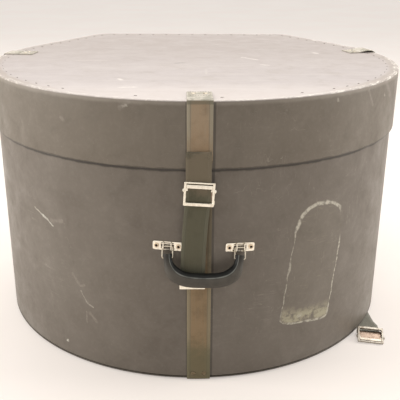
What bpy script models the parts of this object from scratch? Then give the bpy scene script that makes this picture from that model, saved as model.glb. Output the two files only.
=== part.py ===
"""Drum case lying on its base: a deep round fibre body and a lid that slides down over it.

The plan is round with one straight side, the foot, which faces +Y. The case can also stand on it.
Three webbing straps with clamp buckles hold the lid. The front one (-Y) and the left one are fastened.
The right one is undone: its buckle lies on the floor. The handle hangs on the front.
Metres, +Z up, origin in the middle of the round side, on the floor.
"""
from math import asin, cos, pi, radians, sin

import bmesh
import bpy
from mathutils import Matrix, Vector

GAP = 0.0003                      # air between pieces that touch on the real case
INTO = 0.0010                     # how far two shapes that become one reach into each other
DRILL = 0.010                     # how far a rivet's drill reaches to each side

# Fibre shells
FIBRE = 0.0024                    # thickness of the fibre sheet
BODY_R = 0.376                    # outside of the body's round side
FOOT_Y = 0.3812                   # outside of the body's flat foot
SHOULDER = radians(28.5)          # where the round side ends, behind the X axis
CORNER_R = 0.050                  # rounding of the two foot corners
LID_OUT = 0.0048                  # how far the skirt stands outside the body
CASE_H = 0.4705                   # top of the lid panel
HEM_Z = 0.368                     # lower edge of the skirt
FLANGE = 0.024                    # width of the flange that the panels are fixed to
FLANGE_BEND = 0.003               # bend where a side turns in to its flange
PANEL_ROUND = 0.0008              # rounding of the panels' rims
RIM_UP = 0.0027                   # the base panel's rim is raised, so that webbing can lie under it
RIM_IN = 0.072                    # width of that rim
RIM_SLOPE = 0.005                 # from the rim in to the base's doubled middle
INNER_CORNER = 0.012              # least rounding of a plan moved far in
LID_R = BODY_R + LID_OUT

# Webbing
WEB_W = 0.038                     # one and a half inch webbing
WEB_T = 0.0016
FRONT_AZ = radians(-90)
RIGHT_AZ = radians(15.5)
LEFT_AZ = radians(170)
WEB_R = BODY_R + GAP + WEB_T / 2              # middle of the webbing that lies on the body
LID_WEB_R = LID_R + GAP + WEB_T / 2           # middle of the webbing that lies on the skirt
LID_WEB_IN = 0.055                # how far a lid strap reaches in over the top
LID_WEB_BEND = 0.0018             # its bend over the rim
LID_WEB_END = 0.378               # height of a fastened lid strap's lower end
RIGHT_WEB_END = 0.3745            # the right lid strap ends just above its swinging tongue
TONGUE_X = -0.0015                # the tongue sits a little to the left in its buckle
TONGUE_R = 0.3844                 # middle of the tongue's thickness
TONGUE_TOP = 0.396
TONGUE_END = 0.1742
LOOSE_TONGUE = 0.213              # length of the undone tongue
HINGE_DROP = 0.0012               # from the right lid strap's end down to its tongue's axis
HINGE_GAP = 0.0004                # from that axis down to the tongue
TIP_H = 0.0085                    # the metal strap tips
TIP_T = 0.0005
UNDER_IN = 0.030                  # how far a fastened body strap goes on under the rim
BEND_END = 0.003                  # past a rear bar, the webbing's turned-back end closes up
LAP_FROM = 0.011                  # from here it lies flat on the strap
LAP_END = 0.026

# Buckles, measured from the face they lie on
BUCKLE_X = -0.0008
BUCKLE_Z = 0.332                  # middle of a fastened buckle
BUCKLE_W = 0.046
BUCKLE_H = 0.0375
BUCKLE_LEAN = radians(3.5)        # the ring has turned clockwise on its strap
RING_FROM = 0.0103                # the ring's back and front
RING_TO = 0.0133
RING_SIDE = 0.0034
RING_TOP = 0.0024
RING_FOOT = 0.0050
SLOT_HALF = 0.0208                # half the clear width between the cheeks
CHEEK_H = 0.0060
BAR_Z = -0.0140                   # the rear bar, below the buckle's middle
BAR_OFF = 0.0034                  # its middle above the face
BAR_R = 0.0012
LOOP_R = 0.0023                   # bend of the webbing round the rear bar
PIVOT_Z = 0.0055                  # clamp pivot, above the buckle's middle
PIVOT_OFF = 0.0118
PIN_R = 0.0010
PIN_OUT = 0.0008                  # how far a pin stands out of its ear
EAR_R = 0.0030
EAR_OUT = 0.0018
CLAMP_H = 0.0060
CLAMP_T = 0.0022
CLAMP_ARM = 0.0030
CLAMP_FROM = 0.0030               # lower edge of the clamp bar above its pivot

# The undone buckle on the floor and its strap
LOOSE_BAR = (0.3211, -0.2403)     # the floor under its rear bar
LOOSE_TURN = radians(-8)
LOOSE_DIP = radians(16.3)         # the buckle's near edge rests on the floor
LOOSE_LAP = (0.0066, 0.0102)      # the short turned-back end, clear of the wall's foot
STRAIGHT = 0.0145                 # the strap lies straight this far behind the rear bar
UNDER_Z = RIM_UP - GAP - WEB_T / 2            # middle of webbing that lies against the rim's underside
FLOOR_Z = GAP + WEB_T / 2                     # and of webbing that lies on the floor
STRAP_RUN = (                     # x, y, direction and height of the undone strap, from its fixed end
    (0.3340, 0.1040, radians(-3.2), UNDER_Z),
    (0.3307, 0.0450, radians(-3.2), UNDER_Z),
    (0.3284, 0.0030, radians(-3.2), FLOOR_Z),
    (0.3237, -0.0810, radians(-3.2), FLOOR_Z),
    (0.3199, -0.1600, radians(-2.5), FLOOR_Z),
    (0.3202, -0.1800, radians(-3.0), FLOOR_Z),
    (0.3213, -0.2035, radians(-5.0), FLOOR_Z),
)

# Rivets
SHANK_R = 0.0015
HOLE_R = 0.0019
HEAD_R = 0.0040
HEAD_H = 0.0013
CLENCH_R = 0.0031
CLENCH_H = 0.0009
FLAT_HEAD_H = 0.0004              # the rivets under the rim have flat heads
ROOT_RIVETS = ((0.3305, 0.0950), (0.3295, 0.0770))
BASE_RIVET_Z = 0.0135
PAIR_X = 0.009                    # the two rivets of a strap, to each side of its middle
LID_RIVET_R = 0.340
SEAM_Z = (0.080, 0.200, 0.320)    # the wall laps on itself on the left shoulder
SKIRT_SEAM_Z = (0.384, 0.446)     # the skirt on the right shoulder
SEAM_ALONG = 0.100                # from the round side to a seam

# Handle
HANDLE_AZ = radians(1.13)         # the handle's middle, to the right of the front strap
HANDLE_TILT = radians(1.9)        # its right end is a little lower
HANDLE_Z = 0.241
MOUNT_HALF = 0.056                # from the handle's middle to each mount
PLATE_W = 0.046
PLATE_H = 0.0145
PLATE_T = 0.0012
PLATE_SAG = 0.0007                # the wall falls away behind a flat plate's rivets
WINDOW_W = 0.020
WINDOW_H = 0.0085
BRIDGE_W = 0.008
BRIDGE_UNDER = 0.0052             # underside of the plate's bridge above the wall
BRIDGE_T = 0.0010
BRIDGE_LEG = 0.0016
AXIS_OFF = 0.0032                 # the handle's axis above the wall at the mounts
RIVET_HALF = 0.0172               # from a plate's middle to its rivets
LOOP_WIRE = 0.0011
LOOP_HALF = 0.0080
LOOP_LEN = 0.0180
LOOP_BEND = 0.0026
GRIP_TOP = 0.0125
GRIP_DROP = 0.0540
GRIP_END_R = 0.0057
GRIP_MID_R = 0.0098
GRIP_THIN = 0.0200                # the grip is thin down to here
GRIP_SWELL = 0.0240               # and thickens over this drop
GRIP_POWER = 3.2                  # how square the grip's bend is
HANG = radians(24.7)              # the hanging grip leans out over the strap

FACE_OUT = (pi / 2, 0, 0)         # turns a piece that points up so that it points out of the front
OUT = Vector((0, -1, 0))          # straight out at the front
STRAP_AZ = {"front": FRONT_AZ, "left": LEFT_AZ, "right": RIGHT_AZ}

for old in list(bpy.data.objects):
    bpy.data.objects.remove(old, do_unlink=True)

PARTS = bpy.data.collections.new("drum_case")
CUTTERS = bpy.data.collections.new("cutters")
bpy.context.scene.collection.children.link(PARTS)
bpy.context.scene.collection.children.link(CUTTERS)


def material(name, colour, roughness, metallic=0.0):
    mat = bpy.data.materials.new(name)
    mat.use_nodes = True
    shader = mat.node_tree.nodes["Principled BSDF"]
    shader.inputs["Base Color"].default_value = (*colour, 1.0)
    shader.inputs["Roughness"].default_value = roughness
    shader.inputs["Metallic"].default_value = metallic
    return mat


FIBRE_MAT = material("grey_fibre", (0.17, 0.145, 0.12), 0.55)
PANEL_MAT = material("pale_fibre", (0.42, 0.38, 0.34), 0.45)
KHAKI_MAT = material("khaki_webbing", (0.26, 0.20, 0.12), 0.9)
OLIVE_MAT = material("olive_webbing", (0.12, 0.11, 0.07), 0.9)
NICKEL_MAT = material("nickel", (0.66, 0.60, 0.50), 0.3, 1.0)
RIVET_MAT = material("rivet_brass", (0.45, 0.38, 0.28), 0.4, 1.0)
GRIP_MAT = material("black_grip", (0.02, 0.022, 0.022), 0.5)


def empty(name, location=(0, 0, 0), rotation=(0, 0, 0), parent=None):
    obj = bpy.data.objects.new(name, None)
    PARTS.objects.link(obj)
    obj.location = location
    obj.rotation_euler = rotation
    obj.parent = parent
    return obj


def mesh_from(name, bm):
    """The closed mesh of a bmesh, its faces pointing out."""
    bmesh.ops.recalc_face_normals(bm, faces=bm.faces)
    mesh = bpy.data.meshes.new(name)
    bm.to_mesh(mesh)
    bm.free()
    return mesh


def place(name, bm, mat, parent=None, location=(0, 0, 0), rotation=(0, 0, 0)):
    """Turn a bmesh into a piece of the case."""
    return place_mesh(name, mesh_from(name, bm), mat, parent, location, rotation)


def place_mesh(name, mesh, mat, parent=None, location=(0, 0, 0), rotation=(0, 0, 0)):
    mesh.materials.append(mat)
    mesh.shade_smooth()
    mesh.set_sharp_from_angle(angle=radians(30))
    obj = bpy.data.objects.new(name, mesh)
    PARTS.objects.link(obj)
    obj.location = location
    obj.rotation_euler = rotation
    obj.parent = parent
    return obj


def hidden(name, bm, parent=None, rotation=(0, 0, 0)):
    """A shape that only cuts or joins: left out of the case itself."""
    obj = bpy.data.objects.new(name, mesh_from(name, bm))
    CUTTERS.objects.link(obj)
    obj.rotation_euler = rotation
    obj.parent = parent
    obj.hide_render = True
    obj.display_type = "WIRE"
    return obj


def combine(obj, other, operation):
    mod = obj.modifiers.new(other.name, "BOOLEAN")
    mod.object = other
    mod.operation = operation
    mod.solver = "EXACT"


def add_box(bm, low, high):
    """A box between two corners, added to bm."""
    middle = [(a + b) / 2 for a, b in zip(low, high)]
    size = [b - a for a, b in zip(low, high)]
    made = bmesh.ops.create_cube(bm, size=1.0)
    bmesh.ops.scale(bm, vec=size, verts=made["verts"])
    bmesh.ops.translate(bm, vec=middle, verts=made["verts"])


def box(low, high):
    bm = bmesh.new()
    add_box(bm, low, high)
    return bm


def side_boxes(inner, outer, y_span, z_span):
    """Two boxes that mirror each other, each from inner to outer along X."""
    bm = bmesh.new()
    for sign in (-1, 1):
        x_low, x_high = sorted((sign * inner, sign * outer))
        add_box(bm, (x_low, y_span[0], z_span[0]), (x_high, y_span[1], z_span[1]))
    return bm


def add_rod(bm, start, end, radius, segments):
    """A round rod between two points, added to bm."""
    start, end = Vector(start), Vector(end)
    span = end - start
    turn = span.to_track_quat("Z", "Y").to_matrix().to_4x4()
    spot = Matrix.Translation((start + end) / 2) @ turn
    bmesh.ops.create_cone(bm, cap_ends=True, segments=segments, radius1=radius, radius2=radius,
                          depth=span.length, matrix=spot)


def rods(spans, radius, segments=12):
    bm = bmesh.new()
    for start, end in spans:
        add_rod(bm, start, end, radius, segments)
    return bm


def cross_rods(inner, outer, y, z, radius, segments=12):
    """Two rods along X that mirror each other, each from inner to outer."""
    return rods([((sign * inner, y, z), (sign * outer, y, z)) for sign in (-1, 1)], radius, segments)


def drill(spot, direction):
    """The ends of a rivet hole's drill through a spot."""
    return spot - direction * DRILL, spot + direction * DRILL


def pair(x, y, z):
    """Two points that mirror each other in X."""
    return [Vector((-x, y, z)), Vector((x, y, z))]


def radial(az, r, z):
    return Vector((r * cos(az), r * sin(az), z))


def arc(centre, radius, start, end, steps):
    return [(centre[0] + radius * cos(start + (end - start) * i / steps),
             centre[1] + radius * sin(start + (end - start) * i / steps)) for i in range(steps + 1)]


def outline(out):
    """The case's plan, moved out by a distance: round side, straight shoulders and flat foot."""
    points = arc((0, 0), BODY_R + out, pi - SHOULDER, 2 * pi + SHOULDER, 84)
    rounding = max(CORNER_R + out, INNER_CORNER)
    corner_y = FOOT_Y + out - rounding
    corner_x = (BODY_R + out - rounding - corner_y * sin(SHOULDER)) / cos(SHOULDER)
    corner = arc((corner_x, corner_y), rounding, SHOULDER, pi / 2, 8)
    return points + corner + [(-x, y) for x, y in reversed(corner)]


def flange_rings(out, z, up):
    """Rings where a side turns in to its flange; up is 1 at the case's top and -1 at its foot."""
    cut = FLANGE_BEND * (1 - cos(pi / 4))
    return [(out, z - up * FLANGE_BEND), (out - cut, z - up * cut), (out - FLANGE_BEND, z), (out - FLANGE, z)]


def ring_sheet(rings):
    """A sheet through rings of (distance out, height) with the case's plan."""
    bm = bmesh.new()
    out, z = rings[0]
    verts = [bm.verts.new((x, y, z)) for x, y in outline(out)]
    edges = [bm.edges.new((a, b)) for a, b in zip(verts, verts[1:] + verts[:1])]
    for out, z in rings[1:]:
        made = bmesh.ops.extrude_edge_only(bm, edges=edges)
        edges = [e for e in made["geom"] if isinstance(e, bmesh.types.BMEdge)]
        moved = [v for v in made["geom"] if isinstance(v, bmesh.types.BMVert)]
        for vert, (x, y) in zip(moved, outline(out)):
            vert.co = (x, y, z)
    return bm


def shell(name, rings, mat):
    """A side with its flange, thickened inwards to the fibre's thickness."""
    obj = place(name, ring_sheet(rings), mat)
    solid = obj.modifiers.new("thickness", "SOLIDIFY")
    solid.thickness = FIBRE
    solid.offset = -1.0
    solid.use_even_offset = True
    return obj


def panel(name, z, out, mat):
    """A flat fibre panel with the case's plan, its middle at height z."""
    curve = bpy.data.curves.new(name, "CURVE")
    curve.dimensions = "2D"
    curve.fill_mode = "BOTH"
    curve.extrude = FIBRE / 2
    add_spline(curve, [(x, y, 0) for x, y in outline(out)], closed=True)
    obj = place_mesh(name, solid_curve(curve), mat, location=(0, 0, z))
    rim = obj.modifiers.new("rim", "BEVEL")
    rim.width = PANEL_ROUND
    rim.segments = 2
    rim.limit_method = "ANGLE"
    rim.angle_limit = radians(50)
    return obj


def base_panel():
    """The base: flat inside, doubled in its middle, which stands on the floor, and thin at its raised rim."""
    low, high, cut = RIM_UP, RIM_UP + FIBRE, PANEL_ROUND * 0.3
    middle = -RIM_IN - RIM_SLOPE
    rings = [(middle, 0), (-RIM_IN, low), (-PANEL_ROUND, low), (-cut, low + cut), (0, low + PANEL_ROUND),
             (0, high - PANEL_ROUND), (-cut, high - cut), (-PANEL_ROUND, high), (-RIM_IN, high)]
    bm = ring_sheet(rings)
    bmesh.ops.holes_fill(bm, edges=[e for e in bm.edges if e.is_boundary], sides=0)
    return place("base_panel", bm, FIBRE_MAT)


def add_spline(curve, points, closed):
    spline = curve.splines.new("POLY")
    spline.points.add(len(points) - 1)
    for point, spot in zip(spline.points, points):
        point.co = (*spot, 1)
    spline.use_cyclic_u = closed
    return spline


def solid_curve(curve):
    """The closed mesh of a curve, its caps welded on."""
    curve.name += "_curve"
    source = bpy.data.objects.new(curve.name, curve)
    PARTS.objects.link(source)
    graph = bpy.context.evaluated_depsgraph_get()
    mesh = bpy.data.meshes.new_from_object(source.evaluated_get(graph))
    bm = bmesh.new()
    bm.from_mesh(mesh)
    bmesh.ops.remove_doubles(bm, verts=bm.verts, dist=0.00001)
    bmesh.ops.recalc_face_normals(bm, faces=bm.faces)
    bm.to_mesh(mesh)
    bm.free()
    bpy.data.objects.remove(source)
    return mesh


def sheet_strip(rows):
    """A strip of faces through pairs of points, one pair for each station along it."""
    bm = bmesh.new()
    last = None
    for left, right in rows:
        ends = [bm.verts.new(left), bm.verts.new(right)]
        if last:
            bm.faces.new((last[0], last[1], ends[1], ends[0]))
        last = ends
    return bm


def thicken(obj):
    solid = obj.modifiers.new("thickness", "SOLIDIFY")
    solid.thickness = WEB_T
    solid.offset = 0.0
    solid.use_even_offset = True


def webbing(name, bm, mat, parent=None):
    obj = place(name, bm, mat, parent)
    thicken(obj)
    return obj


def strap_rows(path, x=0.0):
    """Pairs of points across a strap whose middle follows (distance out, height) at the front."""
    return [((x - WEB_W / 2, -r, z), (x + WEB_W / 2, -r, z)) for r, z in path]


def rivet(name, grip, parent=None, location=(0, 0, 0), rotation=(0, 0, 0), head=HEAD_H):
    """A domed rivet with its head up; grip is the thickness that it holds, and its head starts at z = 0."""
    top, low = GAP, -grip - GAP
    profile = [(0.0, top + head), (HEAD_R * 0.62, top + head * 0.78), (HEAD_R, top + head * 0.25),
               (HEAD_R, top), (SHANK_R, top), (SHANK_R, low), (CLENCH_R, low),
               (CLENCH_R * 0.8, low - CLENCH_H), (0.0, low - CLENCH_H)]
    mesh = bpy.data.meshes.new(name)
    mesh.from_pydata([(r, 0, z) for r, z in profile], [(i, i + 1) for i in range(len(profile) - 1)], [])
    obj = place_mesh(name, mesh, RIVET_MAT, parent, location, rotation)
    turned = obj.modifiers.new("turned", "SCREW")
    turned.axis = "Z"
    turned.angle = 2 * pi
    turned.steps = 12
    turned.render_steps = 12
    turned.use_merge_vertices = True
    turned.merge_threshold = 0.00001
    turned.use_smooth_shade = True
    return obj


def side_frames():
    """Empties that turn what is modelled at the front to each strap's place round the case."""
    return {side: empty(f"{side}_side", rotation=(0, 0, az - FRONT_AZ)) for side, az in STRAP_AZ.items()}


def seam_rivets(name, side, out, heights):
    """The rivets of a lap seam in the middle of a shoulder, -1 for the left one; gives their drills."""
    az = SHOULDER if side > 0 else pi - SHOULDER
    spot = radial(az, BODY_R + out, 0) + Vector((-side * sin(SHOULDER), cos(SHOULDER), 0)) * SEAM_ALONG
    spots = [spot + Vector((0, 0, z)) for z in heights]
    for i, place_at in enumerate(spots):
        rivet(f"{name}_{i + 1}", FIBRE, location=place_at, rotation=(-pi / 2, 0, az - pi / 2))
    return [drill(place_at, radial(az, 1, 0)) for place_at in spots]


def build_body(frames):
    wall_top = CASE_H - 2 * FIBRE - 3 * GAP
    wall = shell("body_wall", [(0, wall_top)] + flange_rings(0, RIM_UP + FIBRE + GAP, -1), FIBRE_MAT)
    combine(base_panel(), hidden("base_holes", root_drills()), "DIFFERENCE")
    spans = plate_drills()
    for az in (FRONT_AZ, LEFT_AZ):
        across = radial(az + pi / 2, PAIR_X, 0)
        spot = radial(az, BODY_R, BASE_RIVET_Z)
        spans += [drill(spot + sign * across, radial(az, 1, 0)) for sign in (-1, 1)]
    spans += seam_rivets("wall_seam_rivet", -1, 0, SEAM_Z)
    combine(wall, hidden("wall_holes", rods(spans, HOLE_R)), "DIFFERENCE")
    for side in ("front", "left"):
        for i, spot in enumerate(pair(PAIR_X, -WEB_R - WEB_T / 2, BASE_RIVET_Z)):
            rivet(f"{side}_base_rivet_{i + 1}", FIBRE + WEB_T + 2 * GAP, frames[side], spot, FACE_OUT)
    for i, (x, y) in enumerate(ROOT_RIVETS):
        spot = (x, y, UNDER_Z - WEB_T / 2)
        rivet(f"right_base_rivet_{i + 1}", FIBRE + WEB_T + GAP, None, spot, (pi, 0, 0), FLAT_HEAD_H)


def build_lid(frames):
    skirt_rings = [(LID_OUT, HEM_Z)] + flange_rings(LID_OUT, CASE_H - FIBRE - GAP, 1)
    skirt = shell("lid_skirt", skirt_rings, FIBRE_MAT)
    cover = panel("lid_panel", CASE_H - FIBRE / 2, LID_OUT, PANEL_MAT)
    seam_spans = seam_rivets("skirt_seam_rivet", 1, LID_OUT, SKIRT_SEAM_Z)
    combine(skirt, hidden("skirt_holes", rods(seam_spans, HOLE_R)), "DIFFERENCE")
    spans = []
    for az in STRAP_AZ.values():
        across = radial(az + pi / 2, PAIR_X, 0)
        spot = radial(az, LID_RIVET_R, CASE_H)
        spans += [drill(spot + sign * across, Vector((0, 0, 1))) for sign in (-1, 1)]
    combine(cover, hidden("cover_holes", rods(spans, HOLE_R)), "DIFFERENCE")
    for side, frame in frames.items():
        for i, spot in enumerate(pair(PAIR_X, -LID_RIVET_R, CASE_H + GAP + WEB_T)):
            rivet(f"{side}_lid_rivet_{i + 1}", FIBRE + WEB_T + 2 * GAP, frame, spot)


def lid_strap(side, frame, low):
    """Webbing from its riveted end on the lid, over the rim and down the skirt."""
    top = CASE_H + GAP + WEB_T / 2
    corner = (LID_WEB_R - LID_WEB_BEND, top - LID_WEB_BEND)
    path = [(LID_R - LID_WEB_IN, top)] + arc(corner, LID_WEB_BEND, pi / 2, 0, 5) + [(LID_WEB_R, low)]
    obj = webbing(f"{side}_lid_strap", sheet_strip(strap_rows(path)), KHAKI_MAT, frame)
    spans = [drill(spot, Vector((0, 0, 1))) for spot in pair(PAIR_X, -LID_RIVET_R, CASE_H)]
    combine(obj, hidden(f"{side}_lid_strap_holes", rods(spans, HOLE_R), frame), "DIFFERENCE")


def strap_tip(side, parent, x, r, z):
    """A thin metal channel over the end of a tongue whose end is at height z."""
    half = WEB_W / 2 + GAP
    deep = WEB_T / 2 + GAP
    foot = z - GAP - TIP_T
    tip = box((x - half - TIP_T, -r - deep - TIP_T, foot),
              (x + half + TIP_T, -r + deep + TIP_T, foot + TIP_H))
    inside = box((x - half, -r - deep, z - GAP), (x + half, -r + deep, foot + 2 * TIP_H))
    obj = place(f"{side}_strap_tip", tip, NICKEL_MAT, parent)
    combine(obj, hidden(f"{side}_tip_inside", inside, parent), "DIFFERENCE")


def fastened_tongue(side, frame):
    path = [(TONGUE_R, TONGUE_TOP), (TONGUE_R, TONGUE_END)]
    webbing(f"{side}_tongue", sheet_strip(strap_rows(path, TONGUE_X)), OLIVE_MAT, frame)
    strap_tip(side, frame, TONGUE_X, TONGUE_R, TONGUE_END)


def loose_tongue(frame):
    """The undone tongue hangs from the end of the right lid strap and swings about that end."""
    axis = empty("right_tongue_axis", (0, -LID_WEB_R, RIGHT_WEB_END - HINGE_DROP), parent=frame)
    low = -HINGE_GAP - LOOSE_TONGUE
    webbing("right_tongue", sheet_strip(strap_rows([(0, -HINGE_GAP), (0, low)])), OLIVE_MAT, axis)
    strap_tip("right", axis, 0, 0, low)


def base_drills():
    return rods([drill(spot, OUT) for spot in pair(PAIR_X, -BODY_R, BASE_RIVET_Z)], HOLE_R)


def root_drills():
    return rods([drill(Vector((x, y, RIM_UP)), Vector((0, 0, 1))) for x, y in ROOT_RIVETS], HOLE_R)


def upright_strap(side, frame):
    """Webbing from under the rim up the wall, round the buckle's rear bar and back down."""
    bar = (BODY_R + BAR_OFF, BUCKLE_Z + BAR_Z)
    lap = WEB_R + WEB_T + GAP
    edge = (BODY_R - PANEL_ROUND, RIM_UP + PANEL_ROUND)
    path = [(BODY_R - UNDER_IN, UNDER_Z)] + arc(edge, WEB_R - edge[0], -pi / 2, 0, 5)
    path += arc(bar, LOOP_R, pi, 0, 8)
    path += [(bar[0] + LOOP_R, bar[1] - BEND_END), (lap, bar[1] - LAP_FROM), (lap, bar[1] - LAP_END)]
    obj = webbing(f"{side}_body_strap", sheet_strip(strap_rows(path)), KHAKI_MAT, frame)
    combine(obj, hidden(f"{side}_strap_holes", base_drills(), frame), "DIFFERENCE")


def buckle(side, face, axis):
    """A ring with a rear bar, and a clamp on two pins; modelled with the face it lies on at y = 0."""
    half_w, half_h = BUCKLE_W / 2, BUCKLE_H / 2
    lean = (0, BUCKLE_LEAN, 0)
    ring = place(f"{side}_buckle_frame", box((-half_w, -RING_TO, -half_h), (half_w, -RING_FROM, half_h)),
                 NICKEL_MAT, face, rotation=lean)
    window = box((-half_w + RING_SIDE, -RING_TO - INTO, -half_h + RING_FOOT),
                 (half_w - RING_SIDE, 0, half_h - RING_TOP))
    ears = cross_rods(half_w - INTO, half_w + EAR_OUT, -PIVOT_OFF, PIVOT_Z, EAR_R, 16)
    cheeks = side_boxes(SLOT_HALF, half_w, (-RING_FROM - INTO, -BAR_OFF + BAR_R),
                        (BAR_Z - CHEEK_H / 2, BAR_Z + CHEEK_H / 2))
    bar = rods([pair(half_w - INTO / 2, -BAR_OFF, BAR_Z)], BAR_R)
    pin_holes = rods([pair(half_w + 2 * EAR_OUT, -PIVOT_OFF, PIVOT_Z)], PIN_R + GAP, 16)
    combine(ring, hidden(f"{side}_window", window, face, lean), "DIFFERENCE")
    combine(ring, hidden(f"{side}_ears", ears, face, lean), "UNION")
    combine(ring, hidden(f"{side}_cheeks", cheeks, face), "UNION")
    combine(ring, hidden(f"{side}_bar", bar, face), "UNION")
    combine(ring, hidden(f"{side}_pin_holes", pin_holes, face, lean), "DIFFERENCE")
    clamp(side, axis)


def clamp(side, axis):
    """The clamp bar with its arms and pins; the object's origin is on the pins' axis."""
    reach = BUCKLE_W / 2 - RING_SIDE - GAP
    deep = CLAMP_T / 2
    bar = place(f"{side}_buckle_clamp", box((-reach, -deep, CLAMP_FROM), (reach, deep, CLAMP_FROM + CLAMP_H)),
                NICKEL_MAT, axis)
    arms = side_boxes(reach - CLAMP_ARM, reach, (-deep, deep), (-deep, CLAMP_FROM + INTO))
    pins = cross_rods(reach - 2 * INTO, BUCKLE_W / 2 + EAR_OUT + PIN_OUT, 0, 0, PIN_R)
    combine(bar, hidden(f"{side}_clamp_arms", arms, axis), "UNION")
    combine(bar, hidden(f"{side}_clamp_pins", pins, axis), "UNION")


def clamp_axis(side, face):
    spot = Matrix.Rotation(BUCKLE_LEAN, 3, "Y") @ Vector((0, -PIVOT_OFF, PIVOT_Z))
    return empty(f"{side}_clamp_axis", spot, (0, BUCKLE_LEAN, 0), face)


def fastened_buckle(side, frame):
    face = empty(f"{side}_buckle_place", (BUCKLE_X, -BODY_R, BUCKLE_Z), parent=frame)
    buckle(side, face, clamp_axis(side, face))


def loose_buckle():
    """The undone buckle lies face up by the wall, its rear bar away from the front."""
    floor = empty("right_buckle_floor", (*LOOSE_BAR, 0), (0, 0, LOOSE_TURN + pi))
    hinge = empty("right_buckle_hinge", (0, 0, BAR_OFF), (-pi / 2 - LOOSE_DIP, 0, 0), floor)
    face = empty("right_buckle_place", (0, BAR_OFF, -BAR_Z), parent=hinge)
    buckle("right", face, clamp_axis("right", face))


def run_rows():
    """Stations of the undone strap, lying flat from its fixed end under the rim out towards its buckle."""
    rows = []
    for x, y, turn, z in STRAP_RUN:
        half = radial(turn, WEB_W / 2, 0)
        rows.append((Vector((x, y, z)) - half, Vector((x, y, z)) + half))
    return rows


def bar_rows():
    """Stations of the undone strap on the floor, round its buckle's rear bar and back on itself."""
    flat, back = radial(LOOSE_TURN, 1, 0), radial(LOOSE_TURN + pi / 2, 1, 0)
    rear = Vector((*LOOSE_BAR, 0))
    lap = WEB_T * 1.5 + 2 * GAP
    path = [(STRAIGHT, FLOOR_Z), (BEND_END, FLOOR_Z)] + arc((0, BAR_OFF), LOOP_R, -pi / 2, -1.5 * pi, 8)
    path += [(BEND_END / 3, BAR_OFF + LOOP_R)] + [(step, lap) for step in LOOSE_LAP]
    spots = [rear + back * step + Vector((0, 0, z)) for step, z in path]
    return [(spot - flat * WEB_W / 2, spot + flat * WEB_W / 2) for spot in spots]


def undone_strap():
    """The right body strap: riveted under the rim, from where it comes out towards the front."""
    strap = webbing("right_body_strap", sheet_strip(run_rows() + bar_rows()), KHAKI_MAT)
    combine(strap, hidden("right_strap_holes", root_drills()), "DIFFERENCE")


def mount_angle(sign):
    return sign * asin(MOUNT_HALF / BODY_R)


def plate_matrix(sign):
    """Where a handle plate sits: its middle on the wall, its face pointing out."""
    level = Matrix.Translation((0, 0, HANDLE_Z)) @ Matrix.Rotation(HANDLE_AZ, 4, "Z")
    tilted = level @ Matrix.Rotation(HANDLE_TILT, 4, "Y")
    return tilted @ Matrix.Rotation(mount_angle(sign), 4, "Z") @ Matrix.Translation((0, -BODY_R, 0))


def plate_drills():
    spans = []
    for spot in (plate_matrix(-1), plate_matrix(1)):
        out = spot.to_3x3() @ OUT
        spans += [drill(spot @ hole, out) for hole in pair(RIVET_HALF, 0, 0)]
    return spans


def handle_plate(side, sign, frame):
    """A riveted plate with a window and a bridge, under which the handle's wire loop turns."""
    spot = empty(f"handle_{side}_place", rotation=(0, 0, mount_angle(sign)), parent=frame)
    low, high = -BODY_R - GAP, -BODY_R - GAP - PLATE_T
    under, over = -BODY_R - BRIDGE_UNDER, -BODY_R - BRIDGE_UNDER - BRIDGE_T
    half_h = PLATE_H / 2
    flat = box((-PLATE_W / 2, high, -half_h), (PLATE_W / 2, low, half_h))
    window = box((-WINDOW_W / 2, over, -WINDOW_H / 2), (WINDOW_W / 2, 0, WINDOW_H / 2))
    bridge = box((-BRIDGE_W / 2, over, -half_h), (BRIDGE_W / 2, low - PLATE_T / 2, half_h))
    tunnel = box((-BRIDGE_W, under, -half_h + BRIDGE_LEG), (BRIDGE_W, low, half_h - BRIDGE_LEG))
    plate = place(f"handle_plate_{side}", flat, NICKEL_MAT, spot)
    arch = hidden(f"bridge_{side}", bridge, spot)
    combine(arch, hidden(f"tunnel_{side}", tunnel, spot), "DIFFERENCE")
    combine(plate, hidden(f"window_{side}", window, spot), "DIFFERENCE")
    combine(plate, arch, "UNION")
    holes = rods([drill(hole, OUT) for hole in pair(RIVET_HALF, -BODY_R, 0)], HOLE_R)
    combine(plate, hidden(f"plate_holes_{side}", holes, spot), "DIFFERENCE")
    for i, hole in enumerate(pair(RIVET_HALF, high, 0)):
        held = FIBRE + GAP + PLATE_T + PLATE_SAG
        rivet(f"handle_{side}_rivet_{i + 1}", held, spot, hole, FACE_OUT)


def wire_loop(name, x, parent):
    """A closed rectangular loop of wire with round corners, its top bar on the handle's axis."""
    side, foot = LOOP_HALF - LOOP_BEND, LOOP_BEND - LOOP_LEN
    corners = [(side, -LOOP_BEND), (side, foot), (-side, foot), (-side, -LOOP_BEND)]
    points = []
    for i, corner in enumerate(corners):
        start = pi / 2 * (1 - i)
        points += [(x + px, 0, pz) for px, pz in arc(corner, LOOP_BEND, start, start - pi / 2, 4)]
    curve = bpy.data.curves.new(name, "CURVE")
    curve.dimensions = "3D"
    curve.bevel_depth = LOOP_WIRE
    curve.bevel_resolution = 2
    add_spline(curve, points, closed=True)
    place_mesh(name, solid_curve(curve), NICKEL_MAT, parent)


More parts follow.
